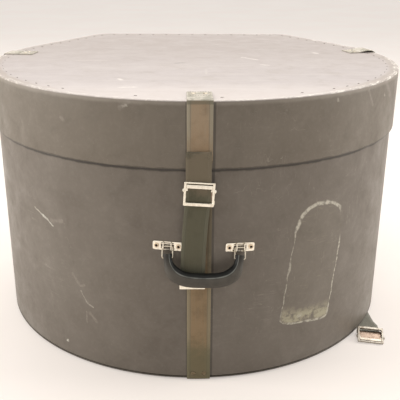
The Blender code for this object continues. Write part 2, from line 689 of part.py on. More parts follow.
def grip(parent):
    """The grip: a tube along a squarish bend, thin at its ends and thick where the hand holds it."""
    curve = bpy.data.curves.new("handle_grip", "CURVE")
    curve.dimensions = "3D"
    curve.bevel_depth = GRIP_MID_R
    curve.bevel_resolution = 3
    curve.use_fill_caps = True
    power = 2 / GRIP_POWER
    first = asin((GRIP_TOP / GRIP_DROP) ** (1 / power))
    count = 24
    path = []
    for i in range(count + 1):
        a = first + (pi - 2 * first) * i / count
        side = 1 if cos(a) > 0 else -1
        path.append((side * MOUNT_HALF * abs(cos(a)) ** power, 0, -GRIP_DROP * sin(a) ** power))
    spline = add_spline(curve, path, closed=False)
    for point in spline.points:
        thick = min(1.0, max(0.0, (-point.co.z - GRIP_THIN) / GRIP_SWELL))
        point.radius = (GRIP_END_R + (GRIP_MID_R - GRIP_END_R) * thick) / GRIP_MID_R
    obj = place_mesh("handle_grip", solid_curve(curve), GRIP_MAT, parent)
    reach = LOOP_HALF + 4 * INTO
    holes = cross_rods(MOUNT_HALF - reach, MOUNT_HALF + reach, 0, -LOOP_LEN, LOOP_WIRE + GAP)
    combine(obj, hidden("grip_holes", holes, parent), "DIFFERENCE")


def build_handle():
    frame = empty("handle_place", (0, 0, HANDLE_Z), (0, HANDLE_TILT, HANDLE_AZ))
    axis_y = -(BODY_R + AXIS_OFF) * cos(mount_angle(1))
    axis = empty("handle_axis", (0, axis_y, 0), (-HANG, 0, 0), frame)
    for side, sign in (("left", -1), ("right", 1)):
        handle_plate(side, sign, frame)
        wire_loop(f"handle_loop_{side}", sign * MOUNT_HALF, axis)
    grip(axis)


def main():
    frames = side_frames()
    build_body(frames)
    build_lid(frames)
    for side in ("front", "left"):
        lid_strap(side, frames[side], LID_WEB_END)
        fastened_tongue(side, frames[side])
        upright_strap(side, frames[side])
        fastened_buckle(side, frames[side])
    lid_strap("right", frames["right"], RIGHT_WEB_END)
    loose_tongue(frames["right"])
    undone_strap()
    loose_buckle()
    build_handle()


main()
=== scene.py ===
"""Drum case in soft studio light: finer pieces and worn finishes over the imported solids.

The case lies on its base. Metres, in the frame of the solids: +Z up, the front at -Y.
"""
from math import asin, cos, floor, hypot, pi, radians, sin, tan

import bmesh
import bpy
from mathutils import Matrix, Vector, noise


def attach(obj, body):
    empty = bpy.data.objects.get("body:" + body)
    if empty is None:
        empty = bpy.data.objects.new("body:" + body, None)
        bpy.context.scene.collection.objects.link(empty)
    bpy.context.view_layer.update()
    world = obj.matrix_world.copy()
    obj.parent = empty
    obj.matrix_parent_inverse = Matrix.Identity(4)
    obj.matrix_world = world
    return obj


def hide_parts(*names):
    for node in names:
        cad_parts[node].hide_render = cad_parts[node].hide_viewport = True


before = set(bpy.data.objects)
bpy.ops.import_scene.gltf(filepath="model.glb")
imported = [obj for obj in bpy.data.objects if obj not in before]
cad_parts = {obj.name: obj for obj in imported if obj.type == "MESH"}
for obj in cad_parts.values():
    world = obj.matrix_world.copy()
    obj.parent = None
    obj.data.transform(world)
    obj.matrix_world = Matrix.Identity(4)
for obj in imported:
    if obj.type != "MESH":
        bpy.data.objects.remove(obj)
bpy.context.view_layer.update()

# Fibre shells
FIBRE = 0.0024                    # thickness of the fibre sheet
GAP = 0.0003                      # air between pieces that touch
BODY_R = 0.376                    # outside of the wall's round side
FOOT_Y = 0.3812                   # outside of the flat foot
SHOULDER = radians(28.5)          # where the round side ends, behind the X axis
CORNER_R = 0.050
LID_OUT = 0.0048                  # the skirt stands this far outside the wall
LID_R = BODY_R + LID_OUT
CASE_H = 0.4705
HEM_Z = 0.368
WALL_TOP = 0.4648
FLANGE = 0.024
FLANGE_BEND = 0.003
RIM_BEND = 0.0006                 # the skirt's bend under the panel is tight
PANEL_ROUND = 0.0008
RIM_UP = 0.0027                   # the base panel's rim is raised, webbing lies under it
PLAN_STEPS = 240                  # edges of a whole circle, of which the back is cut off
SEAM_ALONG = 0.100                # the lap seams' rivets, this far along a shoulder
LAP_WIDE = 0.012                  # from a seam's rivets to the end of its outer sheet
LAP_STEP = 0.0008
PANEL_EDGE = 0.0021               # rounding of the panel's upper edge
CUT_EDGE = 0.0006                 # and of the fibre's cut edges

# Webbing
WEB_W = 0.038
WEB_T = 0.0016
WEB_EDGE = 0.00045                # rounding of the selvedges
FRONT_AZ = radians(-90)
RIGHT_AZ = radians(15.5)
LEFT_AZ = radians(170)
STRAP_AZ = {"front": FRONT_AZ, "left": LEFT_AZ, "right": RIGHT_AZ}
WEB_R = BODY_R + GAP + WEB_T / 2
LID_WEB_R = LID_R + GAP + WEB_T / 2
LID_WEB_IN = 0.055
LID_WEB_BEND = 0.0018
LID_WEB_END = 0.378
RIGHT_WEB_END = 0.3745
# The right lid strap stands off the lid: how far in from the rim, and how high
RIGHT_LIFT = ((0.034, 0.0003), (0.026, 0.0020), (0.016, 0.0033), (0.006, 0.0028))
TONGUE_X = -0.0015
TONGUE_R = 0.3844
TONGUE_TOP = 0.396
TONGUE_END = 0.1742
LOOSE_TONGUE = 0.213
HINGE_DROP = 0.0012
HINGE_GAP = 0.0004
TIP_H = 0.0085
TIP_T = 0.0005
TIP_FOLD = 0.0009                 # rounding of the metal tip's fold
TIP_CORNER = 0.0042
UNDER_IN = 0.030                  # a fastened body strap goes on this far under the rim
BEND_END = 0.003
LAP_FROM = 0.011
LAP_END = 0.026

# Buckles, measured from the face they lie on
BUCKLE_X = -0.0008
BUCKLE_Z = 0.332
BUCKLE_W = 0.046
BUCKLE_H = 0.0375
BUCKLE_LEAN = radians(3.5)
RING_FROM = 0.0103
RING_TO = 0.0133
RING_SIDE = 0.0034
RING_TOP = 0.0024
RING_FOOT = 0.0050
SLOT_HALF = 0.0208
CHEEK_H = 0.0060
BAR_Z = -0.0140
BAR_OFF = 0.0034
BAR_R = 0.0012
LOOP_R = 0.0023
PIVOT_Z = 0.0055
PIVOT_OFF = 0.0118
PIN_R = 0.0010
PIN_OUT = 0.0008
EAR_R = 0.0030
EAR_OUT = 0.0018
CLAMP_H = 0.0060
CLAMP_T = 0.0022
CLAMP_ARM = 0.0016
CLAMP_FROM = 0.0030
RING_CORNER = 0.0018
RING_INNER = 0.0009               # rounding of its window's corners
RING_EDGE = 0.0007
EAR_EDGE = 0.0005
CLAMP_EDGE = 0.0008
ARM_END = 0.0007
PIN_EDGE = 0.0003
BACK_PLATE = (0.0067, 0.0073)     # the thin plate behind the tongue, from and to above the face

# The undone strap: from under the rim along the floor to its buckle
UNDER_Z = RIM_UP - GAP - WEB_T / 2            # middle of webbing that lies against the rim's underside
FLOOR_Z = GAP + WEB_T / 2                     # and of webbing that lies on the floor
LOOSE_BAR = (0.3211, -0.2403)     # the floor under the undone buckle's rear bar
LOOSE_TURN = radians(-8)
LOOSE_DIP = radians(16.3)
LOOSE_LAP = (0.0066, 0.0102)      # its short turned-back end
STRAIGHT = 0.0145
STRAP_RUN = (                     # x, y, direction and height, from its fixed end
    (0.3340, 0.1040, radians(-3.2), UNDER_Z),
    (0.3307, 0.0450, radians(-3.2), UNDER_Z),
    (0.3284, 0.0030, radians(-3.2), FLOOR_Z),
    (0.3237, -0.0810, radians(-3.2), FLOOR_Z),
    (0.3199, -0.1600, radians(-2.5), FLOOR_Z),
    (0.3202, -0.1800, radians(-3.0), FLOOR_Z),
    (0.3213, -0.2035, radians(-5.0), FLOOR_Z),
)

# Handle
HANDLE_AZ = radians(1.13)
HANDLE_TILT = radians(1.9)
HANDLE_Z = 0.241
MOUNT_HALF = 0.056
PLATE_W = 0.046
PLATE_H = 0.0145
PLATE_T = 0.0012
WINDOW_W = 0.020
WINDOW_H = 0.0105
WINDOW_BAR = (0.0029, 0.0040)     # a bar across the window, from and to above its middle
BRIDGE_W = 0.0015
BRIDGE_AT = 0.0062                # from the plate's middle to each of its two narrow bridges
BRIDGE_UNDER = 0.0052
BRIDGE_T = 0.0010
BRIDGE_LEG = 0.0016
AXIS_OFF = 0.0032
RIVET_HALF = 0.0172
RIVET_BORE = 0.0019
PLATE_CORNER = 0.0026
WINDOW_CORNER = 0.0012
BRIDGE_BEND = 0.0016
HEAD_R = 0.0037                   # an eyelet's head, its height and its shank's length
HEAD_H = 0.0014
SHANK = 0.0045
HEAD_RING = 0.0016                # width of its rolled ring
HOLE_DEEP = 0.0011                # depth of the hole in the ring, painted dark as shade
HOLE_SLOPE = 0.0008               # its floor is this much smaller than its mouth
HEAD_EDGE = 0.0005
LOOP_WIRE = 0.0011
LOOP_HALF = 0.0080
LOOP_LEN = 0.0180
LOOP_BEND = 0.0026
GRIP_TOP = 0.0115
GRIP_DROP = 0.0517
GRIP_END_R = 0.0068
GRIP_MID_R = 0.0114
GRIP_DEEP = 0.86                  # the grip is flatter from front to back
GRIP_EYE = Vector((0, 0, -0.020)) # middle of the handle's opening
RIDGE_AT = 0.30                   # a moulded ridge, this far round towards the opening
RIDGE_WIDE = 0.14
RIDGE_H = 0.0006
GRIP_THIN = 0.0200
GRIP_SWELL = 0.0240
GRIP_POWER = 3.2
HANG = radians(24.7)

# Sewing
RIM_STITCH_IN = 0.0205            # the panel's stitches, inside the rim
RIM_STITCH_STEP = 0.0314
RIM_STITCH = 0.0070
RIM_THREAD = (0.0013, 0.0006)     # width and height of a stitch
RIM_STITCH_SEEN = 4               # at the front only every fourth stitch shows
RIM_WORN_Y = -0.30                # and the front of the rim starts here
STRAP_STITCH = 0.0029
STRAP_STITCH_STEP = 0.0038
STRAP_THREAD = (0.0009, 0.0004)
STRAP_STITCH_IN = 0.0035          # the straps' stitches, inside the webbing's sides and ends
STRAP_PATCH = 0.024               # length of the sewn patch at a lid strap's end
LAP_STITCH_IN = 0.003             # the turned-back end's two rows, inside its ends


# ---- Finishes --------------------------------------------------------------------------------

def put(tree, kind, inputs=None, **settings):
    """A shader node with its settings; an input given as a socket is linked."""
    made = tree.nodes.new("ShaderNode" + kind)
    for name, value in settings.items():
        setattr(made, name, value)
    for name, value in (inputs or {}).items():
        if isinstance(value, bpy.types.NodeSocket):
            tree.links.new(value, made.inputs[name])
        else:
            made.inputs[name].default_value = value
    return made


def home(*values):
    """The node tree of the first socket among some values."""
    return next(value.id_data for value in values if isinstance(value, bpy.types.NodeSocket))


def calc(operation, first, second=0.0):
    return put(home(first, second), "Math", {0: first, 1: second}, operation=operation).outputs[0]


def plus(first, second):
    return calc("ADD", first, second)


def less(first, second):
    return calc("SUBTRACT", first, second)


def times(first, *others):
    for other in others:
        first = calc("MULTIPLY", first, other)
    return first


def over(first, second):
    return calc("DIVIDE", first, second)


def most(first, second):
    return calc("MAXIMUM", first, second)


def unsigned(value):
    return calc("ABSOLUTE", value)


def vector_calc(operation, first, second=(0, 0, 0)):
    made = put(home(first, second), "VectorMath", {0: first, 1: second}, operation=operation)
    return made.outputs["Value" if operation in {"LENGTH", "DOT_PRODUCT"} else "Vector"]


def scaled(vector, scale):
    made = put(home(vector, scale), "VectorMath", {0: vector, "Scale": scale}, operation="SCALE")
    return made.outputs["Vector"]


def clouds(vector, scale, detail=3.0, rough=0.55, distortion=0.0):
    made = put(home(vector), "TexNoise", {"Vector": vector, "Scale": scale, "Detail": detail,
                                          "Roughness": rough, "Distortion": distortion})
    return made.outputs["Fac"]


def between(value, low, high, to_low=0.0, to_high=1.0):
    """A value spread smoothly from low..high to to_low..to_high."""
    made = put(home(value), "MapRange", {"Value": value, "From Min": low, "From Max": high,
                                         "To Min": to_low, "To Max": to_high},
               interpolation_type="SMOOTHSTEP")
    return made.outputs["Result"]


def blend_colour(share, first, second):
    return put(home(share), "Mix", {0: share, 6: first, 7: second}, data_type="RGBA").outputs[2]


def split(vector):
    return put(home(vector), "SeparateXYZ", {"Vector": vector}).outputs


def join_xyz(x, y, z=0.0):
    return put(home(x, y, z), "CombineXYZ", {"X": x, "Y": y, "Z": z}).outputs["Vector"]


def mapped(vector, **inputs):
    """A vector turned, moved or stretched by a Mapping node."""
    return put(home(vector), "Mapping", {"Vector": vector, **inputs}).outputs["Vector"]


def clamped(value):
    return put(home(value), "Clamp", {"Value": value}).outputs["Result"]


def shaken(place, scale, detail, reach):
    """A place moved to and fro by a fine noise, for ragged outlines."""
    ragged = put(home(place), "TexNoise", {"Vector": place, "Scale": scale, "Detail": detail})
    return scaled(vector_calc("SUBTRACT", ragged.outputs["Color"], (0.5, 0.5, 0.5)), reach)


def node_group(name, inputs, outputs):
    """A new group with named sockets; gives the tree, its input sockets and its output node."""
    tree = bpy.data.node_groups.new(name, "ShaderNodeTree")
    for direction, sockets in (("INPUT", inputs), ("OUTPUT", outputs)):
        for label, kind, *value in sockets:
            socket = tree.interface.new_socket(label, in_out=direction, socket_type="NodeSocket" + kind)
            if value:
                socket.default_value = value[0]
    return tree, tree.nodes.new("NodeGroupInput").outputs, tree.nodes.new("NodeGroupOutput")


def give(tree, out, **values):
    for name, value in values.items():
        tree.links.new(value, out.inputs[name])


def place_group(tree, group, inputs):
    return put(tree, "Group", inputs, node_tree=group).outputs


def round_plan_group():
    """Unrolls the wall: X along it from the middle of the front, Y its height."""
    tree, given, out = node_group("unrolled_wall", [("Position", "Vector")], [("Place", "Vector")])
    x, y, z = split(given["Position"])[:3]
    angle = calc("ARCTAN2", x, times(y, -1.0))
    give(tree, out, Place=join_xyz(times(angle, BODY_R), z))
    return tree


SCUFF_LINES = (                   # stretch, shift and half width of the three sorts of fine lines
    ((7.0, 130.0, 1.0), 3.0, 0.006),
    ((110.0, 9.0, 1.0), 11.0, 0.005),
    ((38.0, 34.0, 1.0), 7.0, 0.004),
)


def scuff_lines(place, spot):
    """Fine broken lines in patches: the level lines of a stretched noise."""
    marks = None
    for stretch, shift, thin in SCUFF_LINES:
        turned = mapped(place, Location=(shift, shift, shift), Rotation=(0, 0, 0.05 * shift), Scale=stretch)
        near = unsigned(less(clouds(turned, 1.0, 2.0, 0.5, 0.35), 0.52))
        patch = between(clouds(spot, 13.0 + shift, 2.0), 0.52, 0.62)
        mark = times(between(near, thin, thin * 0.3), patch)
        marks = mark if marks is None else most(marks, mark)
    return marks


def fibre_group():
    """Painted vulcanised fibre: clouded, grained, dusty and scuffed."""
    tree, given, out = node_group(
        "worn_fibre",
        [("Position", "Vector"), ("Place", "Vector"), ("Colour", "Color"), ("Pale", "Color"),
         ("Dark", "Color"), ("Scuffs", "Float", 0.5), ("Stains", "Float", 0.5)],
        [("Colour", "Color"), ("Roughness", "Float"), ("Height", "Float")])
    spot = given["Position"]
    broad = between(clouds(spot, 4.0, 4.0, 0.6), 0.36, 0.66)
    blots = clouds(spot, 23.0, 4.0, 0.65, 0.4)
    mottle = clouds(spot, 160.0, 3.0, 0.6)
    grain = clouds(spot, 1400.0, 2.0, 0.5)
    darker = times(between(blots, 0.50, 0.74), given["Stains"])
    colour = blend_colour(darker, given["Colour"], given["Dark"])
    paler = times(between(blots, 0.50, 0.26), 0.10)
    paler = plus(paler, times(broad, 0.10))
    paler = plus(paler, between(mottle, 0.46, 0.72, 0.0, 0.07))
    colour = blend_colour(paler, colour, given["Pale"])
    worn = between(clouds(spot, 3.2, 3.0, 0.6), 0.50, 0.64)
    marks = times(scuff_lines(given["Place"], spot), worn, given["Scuffs"])
    flecks = between(clouds(spot, 310.0, 1.0, 0.3), 0.73, 0.80)
    flecks = times(flecks, times(given["Scuffs"], 0.22))
    colour = blend_colour(most(marks, flecks), colour, given["Pale"])
    rough = between(blots, 0.2, 0.8, 0.36, 0.60)
    rough = plus(rough, times(marks, 0.2))
    height = times(grain, 0.10)
    height = plus(height, times(mottle, 0.25))
    height = plus(height, times(blots, 0.65))
    height = less(height, times(marks, 0.12))
    give(tree, out, Colour=colour, Roughness=rough, Height=height)
    return tree


def scratch_group():
    """A short broken line or a spot, on the unrolled wall or on the lid."""
    tree, given, out = node_group(
        "scratch", [("Place", "Vector"), ("From", "Vector"), ("To", "Vector"), ("Width", "Float", 0.001),
                    ("Broken", "Float", 0.5)], [("Mask", "Float")])
    shake = shaken(given["Place"], 160.0, 2.0, 0.006)
    start = vector_calc("SUBTRACT", vector_calc("ADD", given["Place"], shake), given["From"])
    line = vector_calc("SUBTRACT", given["To"], given["From"])
    share = over(vector_calc("DOT_PRODUCT", start, line),
                 most(vector_calc("DOT_PRODUCT", line, line), 1e-9))
    away = vector_calc("SUBTRACT", start, scaled(line, clamped(share)))
    flat = vector_calc("LENGTH", vector_calc("MULTIPLY", away, (1, 1, 0)))
    edge = over(flat, given["Width"])
    mask = between(edge, 1.0, 0.3)
    gaps = between(clouds(given["Place"], 210.0, 2.0), 0.40, 0.60)
    keep = less(1.0, times(given["Broken"], gaps))
    give(tree, out, Mask=times(mask, keep))
    return tree


def label_group():
    """The arch-topped outline of old glue on the wall, its inside and its smear."""
    tree, given, out = node_group("label_outline", [("Place", "Vector")],
                                  [("Line", "Float"), ("Inside", "Float"), ("Smear", "Float")])
    turned = put(tree, "Mapping", {"Vector": given["Place"], "Location": LABEL_MIDDLE,
                                   "Rotation": (0, 0, LABEL_LEAN)}, vector_type="TEXTURE")
    shake = shaken(given["Place"], 45.0, 3.0, 0.008)
    spot = vector_calc("ADD", turned.outputs["Vector"], shake)
    x, y = split(spot)[:2]
    arch = between(y, -0.001, 0.001, 0.010, LABEL_ARCH)
    reach_x = plus(less(unsigned(x), LABEL_HALF[0]), arch)
    reach_y = plus(less(unsigned(y), LABEL_HALF[1]), arch)
    corner = join_xyz(most(reach_x, 0.0), most(reach_y, 0.0))
    away = plus(vector_calc("LENGTH", corner),
                calc("MINIMUM", most(reach_x, reach_y), 0.0))
    away = less(away, arch)
    top = between(y, 0.052, 0.074)
    wide = between(clouds(given["Place"], 30.0, 3.0), 0.35, 0.65, 0.0009, 0.0027)
    wide = plus(wide, times(top, 0.0030))
    edge = over(unsigned(away), wide)
    line = between(edge, 1.0, 0.35)
    gaps = between(clouds(given["Place"], 120.0, 4.0, 0.75), 0.36, 0.56, 0.10, 1.0)
    gone = times(between(x, 0.030, 0.044), between(y, 0.030, 0.050))
    faded = times(between(x, -0.030, -0.044), between(y, 0.070, 0.040, 0.0, 0.35))
    gone = most(times(gone, 0.95), faded)
    gaps = times(gaps, less(1.0, gone))
    inside = between(away, 0.001, -0.004)
    low = between(y, -0.070, -0.092)
    blobs = between(clouds(given["Place"], 75.0, 4.0, 0.7), 0.34, 0.58)
    smear = times(low, inside, blobs)
    faint = mapped(spot, Scale=(30.0, 160.0, 1.0))
    marks = between(clouds(faint, 1.0, 2.0), 0.62, 0.72, 0.0, 0.16)
    smear = most(smear, times(marks, inside))
    give(tree, out, Line=times(line, gaps), Inside=inside, Smear=smear)
    return tree


def weave_group():
    """Woven webbing in its own UV metres: ribs, yarns with painted shade between them, paler selvedges and a
    thin line beside them.
    """
    tree, given, out = node_group(
        "webbing_weave",
        [("Place", "Vector"), ("Position", "Vector"), ("Colour", "Color"), ("Selvedge", "Color"),
         ("Dark", "Color"), ("Dirt", "Float", 0.5)],
        [("Colour", "Color"), ("Roughness", "Float"), ("Height", "Float")])
    x, y = split(given["Place"])[:2]
    rib, pick = 0.00155, 0.0011
    row = over(y, pick)
    parity = calc("MODULO", unsigned(calc("FLOOR", row)), 2.0)
    column = plus(over(x, rib), times(parity, 0.5))
    bow = unsigned(calc("SINE", times(column, pi)))
    weft = unsigned(calc("SINE", times(row, pi)))
    yarn = times(bow, calc("POWER", weft, 0.6))
    side = unsigned(x)
    selvedge = between(side, 0.0110, 0.0150)
    groove = times(between(side, 0.0126, 0.0133), between(side, 0.0144, 0.0137))
    cloud = clouds(given["Position"], 26.0, 4.0, 0.65)
    streaks = clouds(mapped(given["Place"], Scale=(900.0, 24.0, 1.0)), 1.0, 2.0, 0.5)
    colour = blend_colour(times(between(cloud, 0.46, 0.74), given["Dirt"]),
                          given["Colour"], given["Dark"])
    colour = blend_colour(times(selvedge, 0.85), colour, given["Selvedge"])
    colour = blend_colour(times(groove, 0.35), colour, given["Dark"])
    colour = blend_colour(between(streaks, 0.35, 0.75, 0.0, 0.30), colour, given["Selvedge"])
    # Painted shade between the yarns.
    colour = blend_colour(times(less(1.0, yarn), 0.35),
                          colour, given["Dark"])
    fuzz = clouds(given["Position"], 2200.0, 2.0)
    height = plus(yarn, times(fuzz, 0.35))
    height = plus(height, times(selvedge, 0.6))
    height = less(height, times(groove, 1.0))
    give(tree, out, Colour=colour, Roughness=between(yarn, 0.0, 1.0, 0.95, 0.78), Height=height)
    return tree


def metal_group():
    """Old plated metal: brushed, spotted and browned in places."""
    tree, given, out = node_group(
        "tarnished_metal",
        [("Position", "Vector"), ("Bright", "Color"), ("Brown", "Color"), ("Tarnish", "Float", 0.4)],
        [("Colour", "Color"), ("Roughness", "Float"), ("Metallic", "Float"), ("Height", "Float")])
    spot = given["Position"]
    cloud = clouds(spot, 170.0, 4.0, 0.65, 0.3)
    pits = clouds(spot, 900.0, 2.0, 0.6)
    film = times(between(cloud, 0.46, 0.68), given["Tarnish"])
    rust = times(between(pits, 0.64, 0.76), times(given["Tarnish"], 1.2))
    rust = clamped(rust)
    colour = blend_colour(most(film, rust), given["Bright"], given["Brown"])
    rough = plus(between(cloud, 0.3, 0.7, 0.20, 0.38), times(rust, 0.35))
    metallic = less(1.0, times(rust, 0.6))
    height = plus(times(cloud, 0.5), times(pits, 0.5))
    give(tree, out, Colour=colour, Roughness=rough, Metallic=metallic, Height=height)
    return tree


def leather_group():
    """Grip covering: pebbled; black towards the hand, partly as painted shade; below a painted highlight
    along the moulded ridge it is rubbed grey-brown, partly bloom and partly painted light.
    """
    tree, given, out = node_group(
        "pebbled_grip", [("Position", "Vector"), ("Inward", "Float"), ("Colour", "Color"), ("Bloom", "Color"),
                         ("Ridge", "Color")],
        [("Colour", "Color"), ("Roughness", "Float"), ("Height", "Float")])
    spot, inward = given["Position"], given["Inward"]
    cells = put(tree, "TexVoronoi", {"Vector": spot, "Scale": 1150.0, "Smoothness": 0.4}, feature="SMOOTH_F1")
    pebble = cells.outputs["Distance"]
    cloud = clouds(spot, 70.0, 4.0, 0.6)
    low = between(split(spot)[2], 0.232, 0.208, 0.30, 1.0)
    # Away from the opening the grip turns grey-brown, partly bloom and partly painted light. The inward side
    # keeps its black as painted shade.
    outer = times(between(inward, 0.30, 0.12), low)
    bloom_and_lit_face = times(outer, between(cloud, 0.3, 0.7, 0.80, 1.0))
    bloom_and_lit_face = plus(bloom_and_lit_face, between(pebble, 0.5, 0.1, 0.0, 0.06))
    colour = blend_colour(bloom_and_lit_face, given["Colour"], given["Bloom"])
    # A painted highlight along the moulded ridge.
    line = times(between(inward, 0.20, 0.27), between(inward, 0.42, 0.33))
    line = times(line, between(cloud, 0.3, 0.6, 0.45, 0.9))
    colour = blend_colour(line, colour, given["Ridge"])
    give(tree, out, Colour=colour, Roughness=between(cloud, 0.3, 0.7, 0.38, 0.55),
         Height=times(pebble, -1.0))
    return tree


def material(name, roughness=0.5):
    """A new material; gives it, its tree and its shader."""
    made = bpy.data.materials.new(name)
    made.use_nodes = True
    shader = made.node_tree.nodes["Principled BSDF"]
    shader.inputs["Roughness"].default_value = roughness
    return made, made.node_tree, shader


def bumped(tree, shader, height, distance, strength):
    bump = put(tree, "Bump", {"Height": height, "Distance": distance, "Strength": strength})
    tree.links.new(bump.outputs["Normal"], shader.inputs["Normal"])


def aged(tree, shader, colour, look, depth, strength):
    """Feeds a shader its colour and a group's roughness and height."""
    tree.links.new(colour, shader.inputs["Base Color"])
    tree.links.new(look["Roughness"], shader.inputs["Roughness"])
    bumped(tree, shader, look["Height"], depth, strength)


def object_place(tree):
    return put(tree, "TexCoord").outputs["Object"]


def wall_point(az, z):
    """A point of the unrolled wall from its azimuth in degrees and its height."""
    return ((az + 90) * pi / 180 * BODY_R, z, 0)


LABEL_MIDDLE = wall_point(-59.2, 0.186)
LABEL_LEAN = radians(-7.8)
LABEL_HALF = (0.0515, 0.1060)
LABEL_ARCH = 0.046

UNROLLED = round_plan_group()
FIBRE_LOOK = fibre_group()
SCRATCH = scratch_group()
LABEL = label_group()
WEAVE = weave_group()
METAL = metal_group()
PEBBLE = leather_group()

GLUE = (0.58, 0.55, 0.46, 1)
SMEAR = (0.43, 0.395, 0.28, 1)
SMUDGE = (0.245, 0.215, 0.180, 1)
CHALK = (0.66, 0.64, 0.57, 1)
DUST = (0.36, 0.33, 0.28, 1)
# Painted shade: the shadow under the skirt's hem and the lines beside the front strap
PAINTED_SHADE = (0.030, 0.024, 0.018, 1)
RIM_WEAR = (0.40, 0.36, 0.31, 1)
STRAP_SHADOW_LINES = ((0.0182, 0.0232, 0.55), (-0.0182, -0.0212, 0.45))   # dark lines of painted shadow beside the front strap


STITCH_BAND = (0.3600, 0.3680)     # how far out the lid greys outside its stitches
RIM_FLAKES = (0.3700, 0.3760)      # and where its paint flakes off
LID_WHITE = (0.92, 0.88, 0.82, 1)
LID_SCRATCHES = (                  # from, to, half width and paint of the lid's marks
    ((-0.1287, -0.2149, 0), (-0.1237, -0.2254, 0), 0.0052, LID_WHITE),
    ((-0.1229, -0.2855, 0), (-0.0962, -0.2830, 0), 0.0040, LID_WHITE),
    ((-0.0358, -0.0580, 0), (-0.0228, -0.0533, 0), 0.0075, (0.20, 0.18, 0.16, 1)),
    ((0.0921, 0.0141, 0), (0.1185, -0.0151, 0), 0.0042, LID_WHITE),
    ((0.1211, -0.0707, 0), (0.1322, -0.0783, 0), 0.0046, LID_WHITE),
    ((0.2451, 0.0756, 0), (0.2488, 0.0675, 0), 0.0075, LID_WHITE),
    ((0.0168, -0.1252, 0), (0.0156, -0.1697, 0), 0.0026, (0.60, 0.56, 0.52, 1)),
    ((-0.2237, -0.0304, 0), (-0.1621, -0.0249, 0), 0.0050, (0.58, 0.54, 0.50, 1)),
)


def fibre_material(name, colour, dark, scuffs, stains, scratches=(), label=False, bands=()):
    """Fibre with its own scratches; a band is (height from, height to, share, colour)."""
    made, tree, shader = material(name)
    spot = object_place(tree)
    place = place_group(tree, UNROLLED, {"Position": spot})["Place"]
    look = place_group(tree, FIBRE_LOOK, {"Position": spot, "Place": place, "Colour": colour, "Pale": DUST,
                                          "Dark": dark, "Scuffs": scuffs, "Stains": stains})
    colour_out = look["Colour"]
    for az, z, az_end, z_end, width, paint in scratches:
        mask = place_group(tree, SCRATCH, {"Place": place, "From": wall_point(az, z),
                                           "To": wall_point(az_end, z_end), "Width": width})["Mask"]
        colour_out = blend_colour(mask, colour_out, paint)
    height = split(place)[1]
    ragged = between(clouds(spot, 45.0, 3.0), 0.3, 0.7, -0.0008, 0.0008)
    height = plus(height, ragged)
    # A band here is either painted shade under the hem or wear at the rim.
    for low, high, share, paint in bands:
        mask = between(height, low, high, 0.0, share)
        colour_out = blend_colour(mask, colour_out, paint)
    along_wall = split(place)[0]
    # Painted shadow lines beside the front strap.
    for start, end, share in STRAP_SHADOW_LINES:
        step = 0.001 if end > start else -0.001
        mask = times(between(along_wall, start, start + step),
                    between(along_wall, end, end - step))
        colour_out = blend_colour(times(mask, share), colour_out, PAINTED_SHADE)
    if label:
        marks = place_group(tree, LABEL, {"Place": place})
        for mark, share, paint in (("Inside", 0.04, SMEAR), ("Smear", 0.95, SMEAR), ("Line", 0.95, GLUE)):
            colour_out = blend_colour(times(marks[mark], share), colour_out, paint)
    aged(tree, shader, colour_out, look, 0.0012, 0.5)
    return made


def plan_reach(x, y):
    """Distance out to the plan's line through a point: round, but straight at the shoulders and the foot."""
    wide = unsigned(x)
    shoulder = plus(times(wide, cos(SHOULDER)),
                    times(y, sin(SHOULDER)))
    straight = most(shoulder, less(y, FOOT_Y - BODY_R))
    behind = calc("GREATER_THAN", y, times(wide, tan(SHOULDER)))
    distance = vector_calc("LENGTH", join_xyz(x, y))
    return plus(times(straight, behind),
                times(distance, less(1.0, behind)))


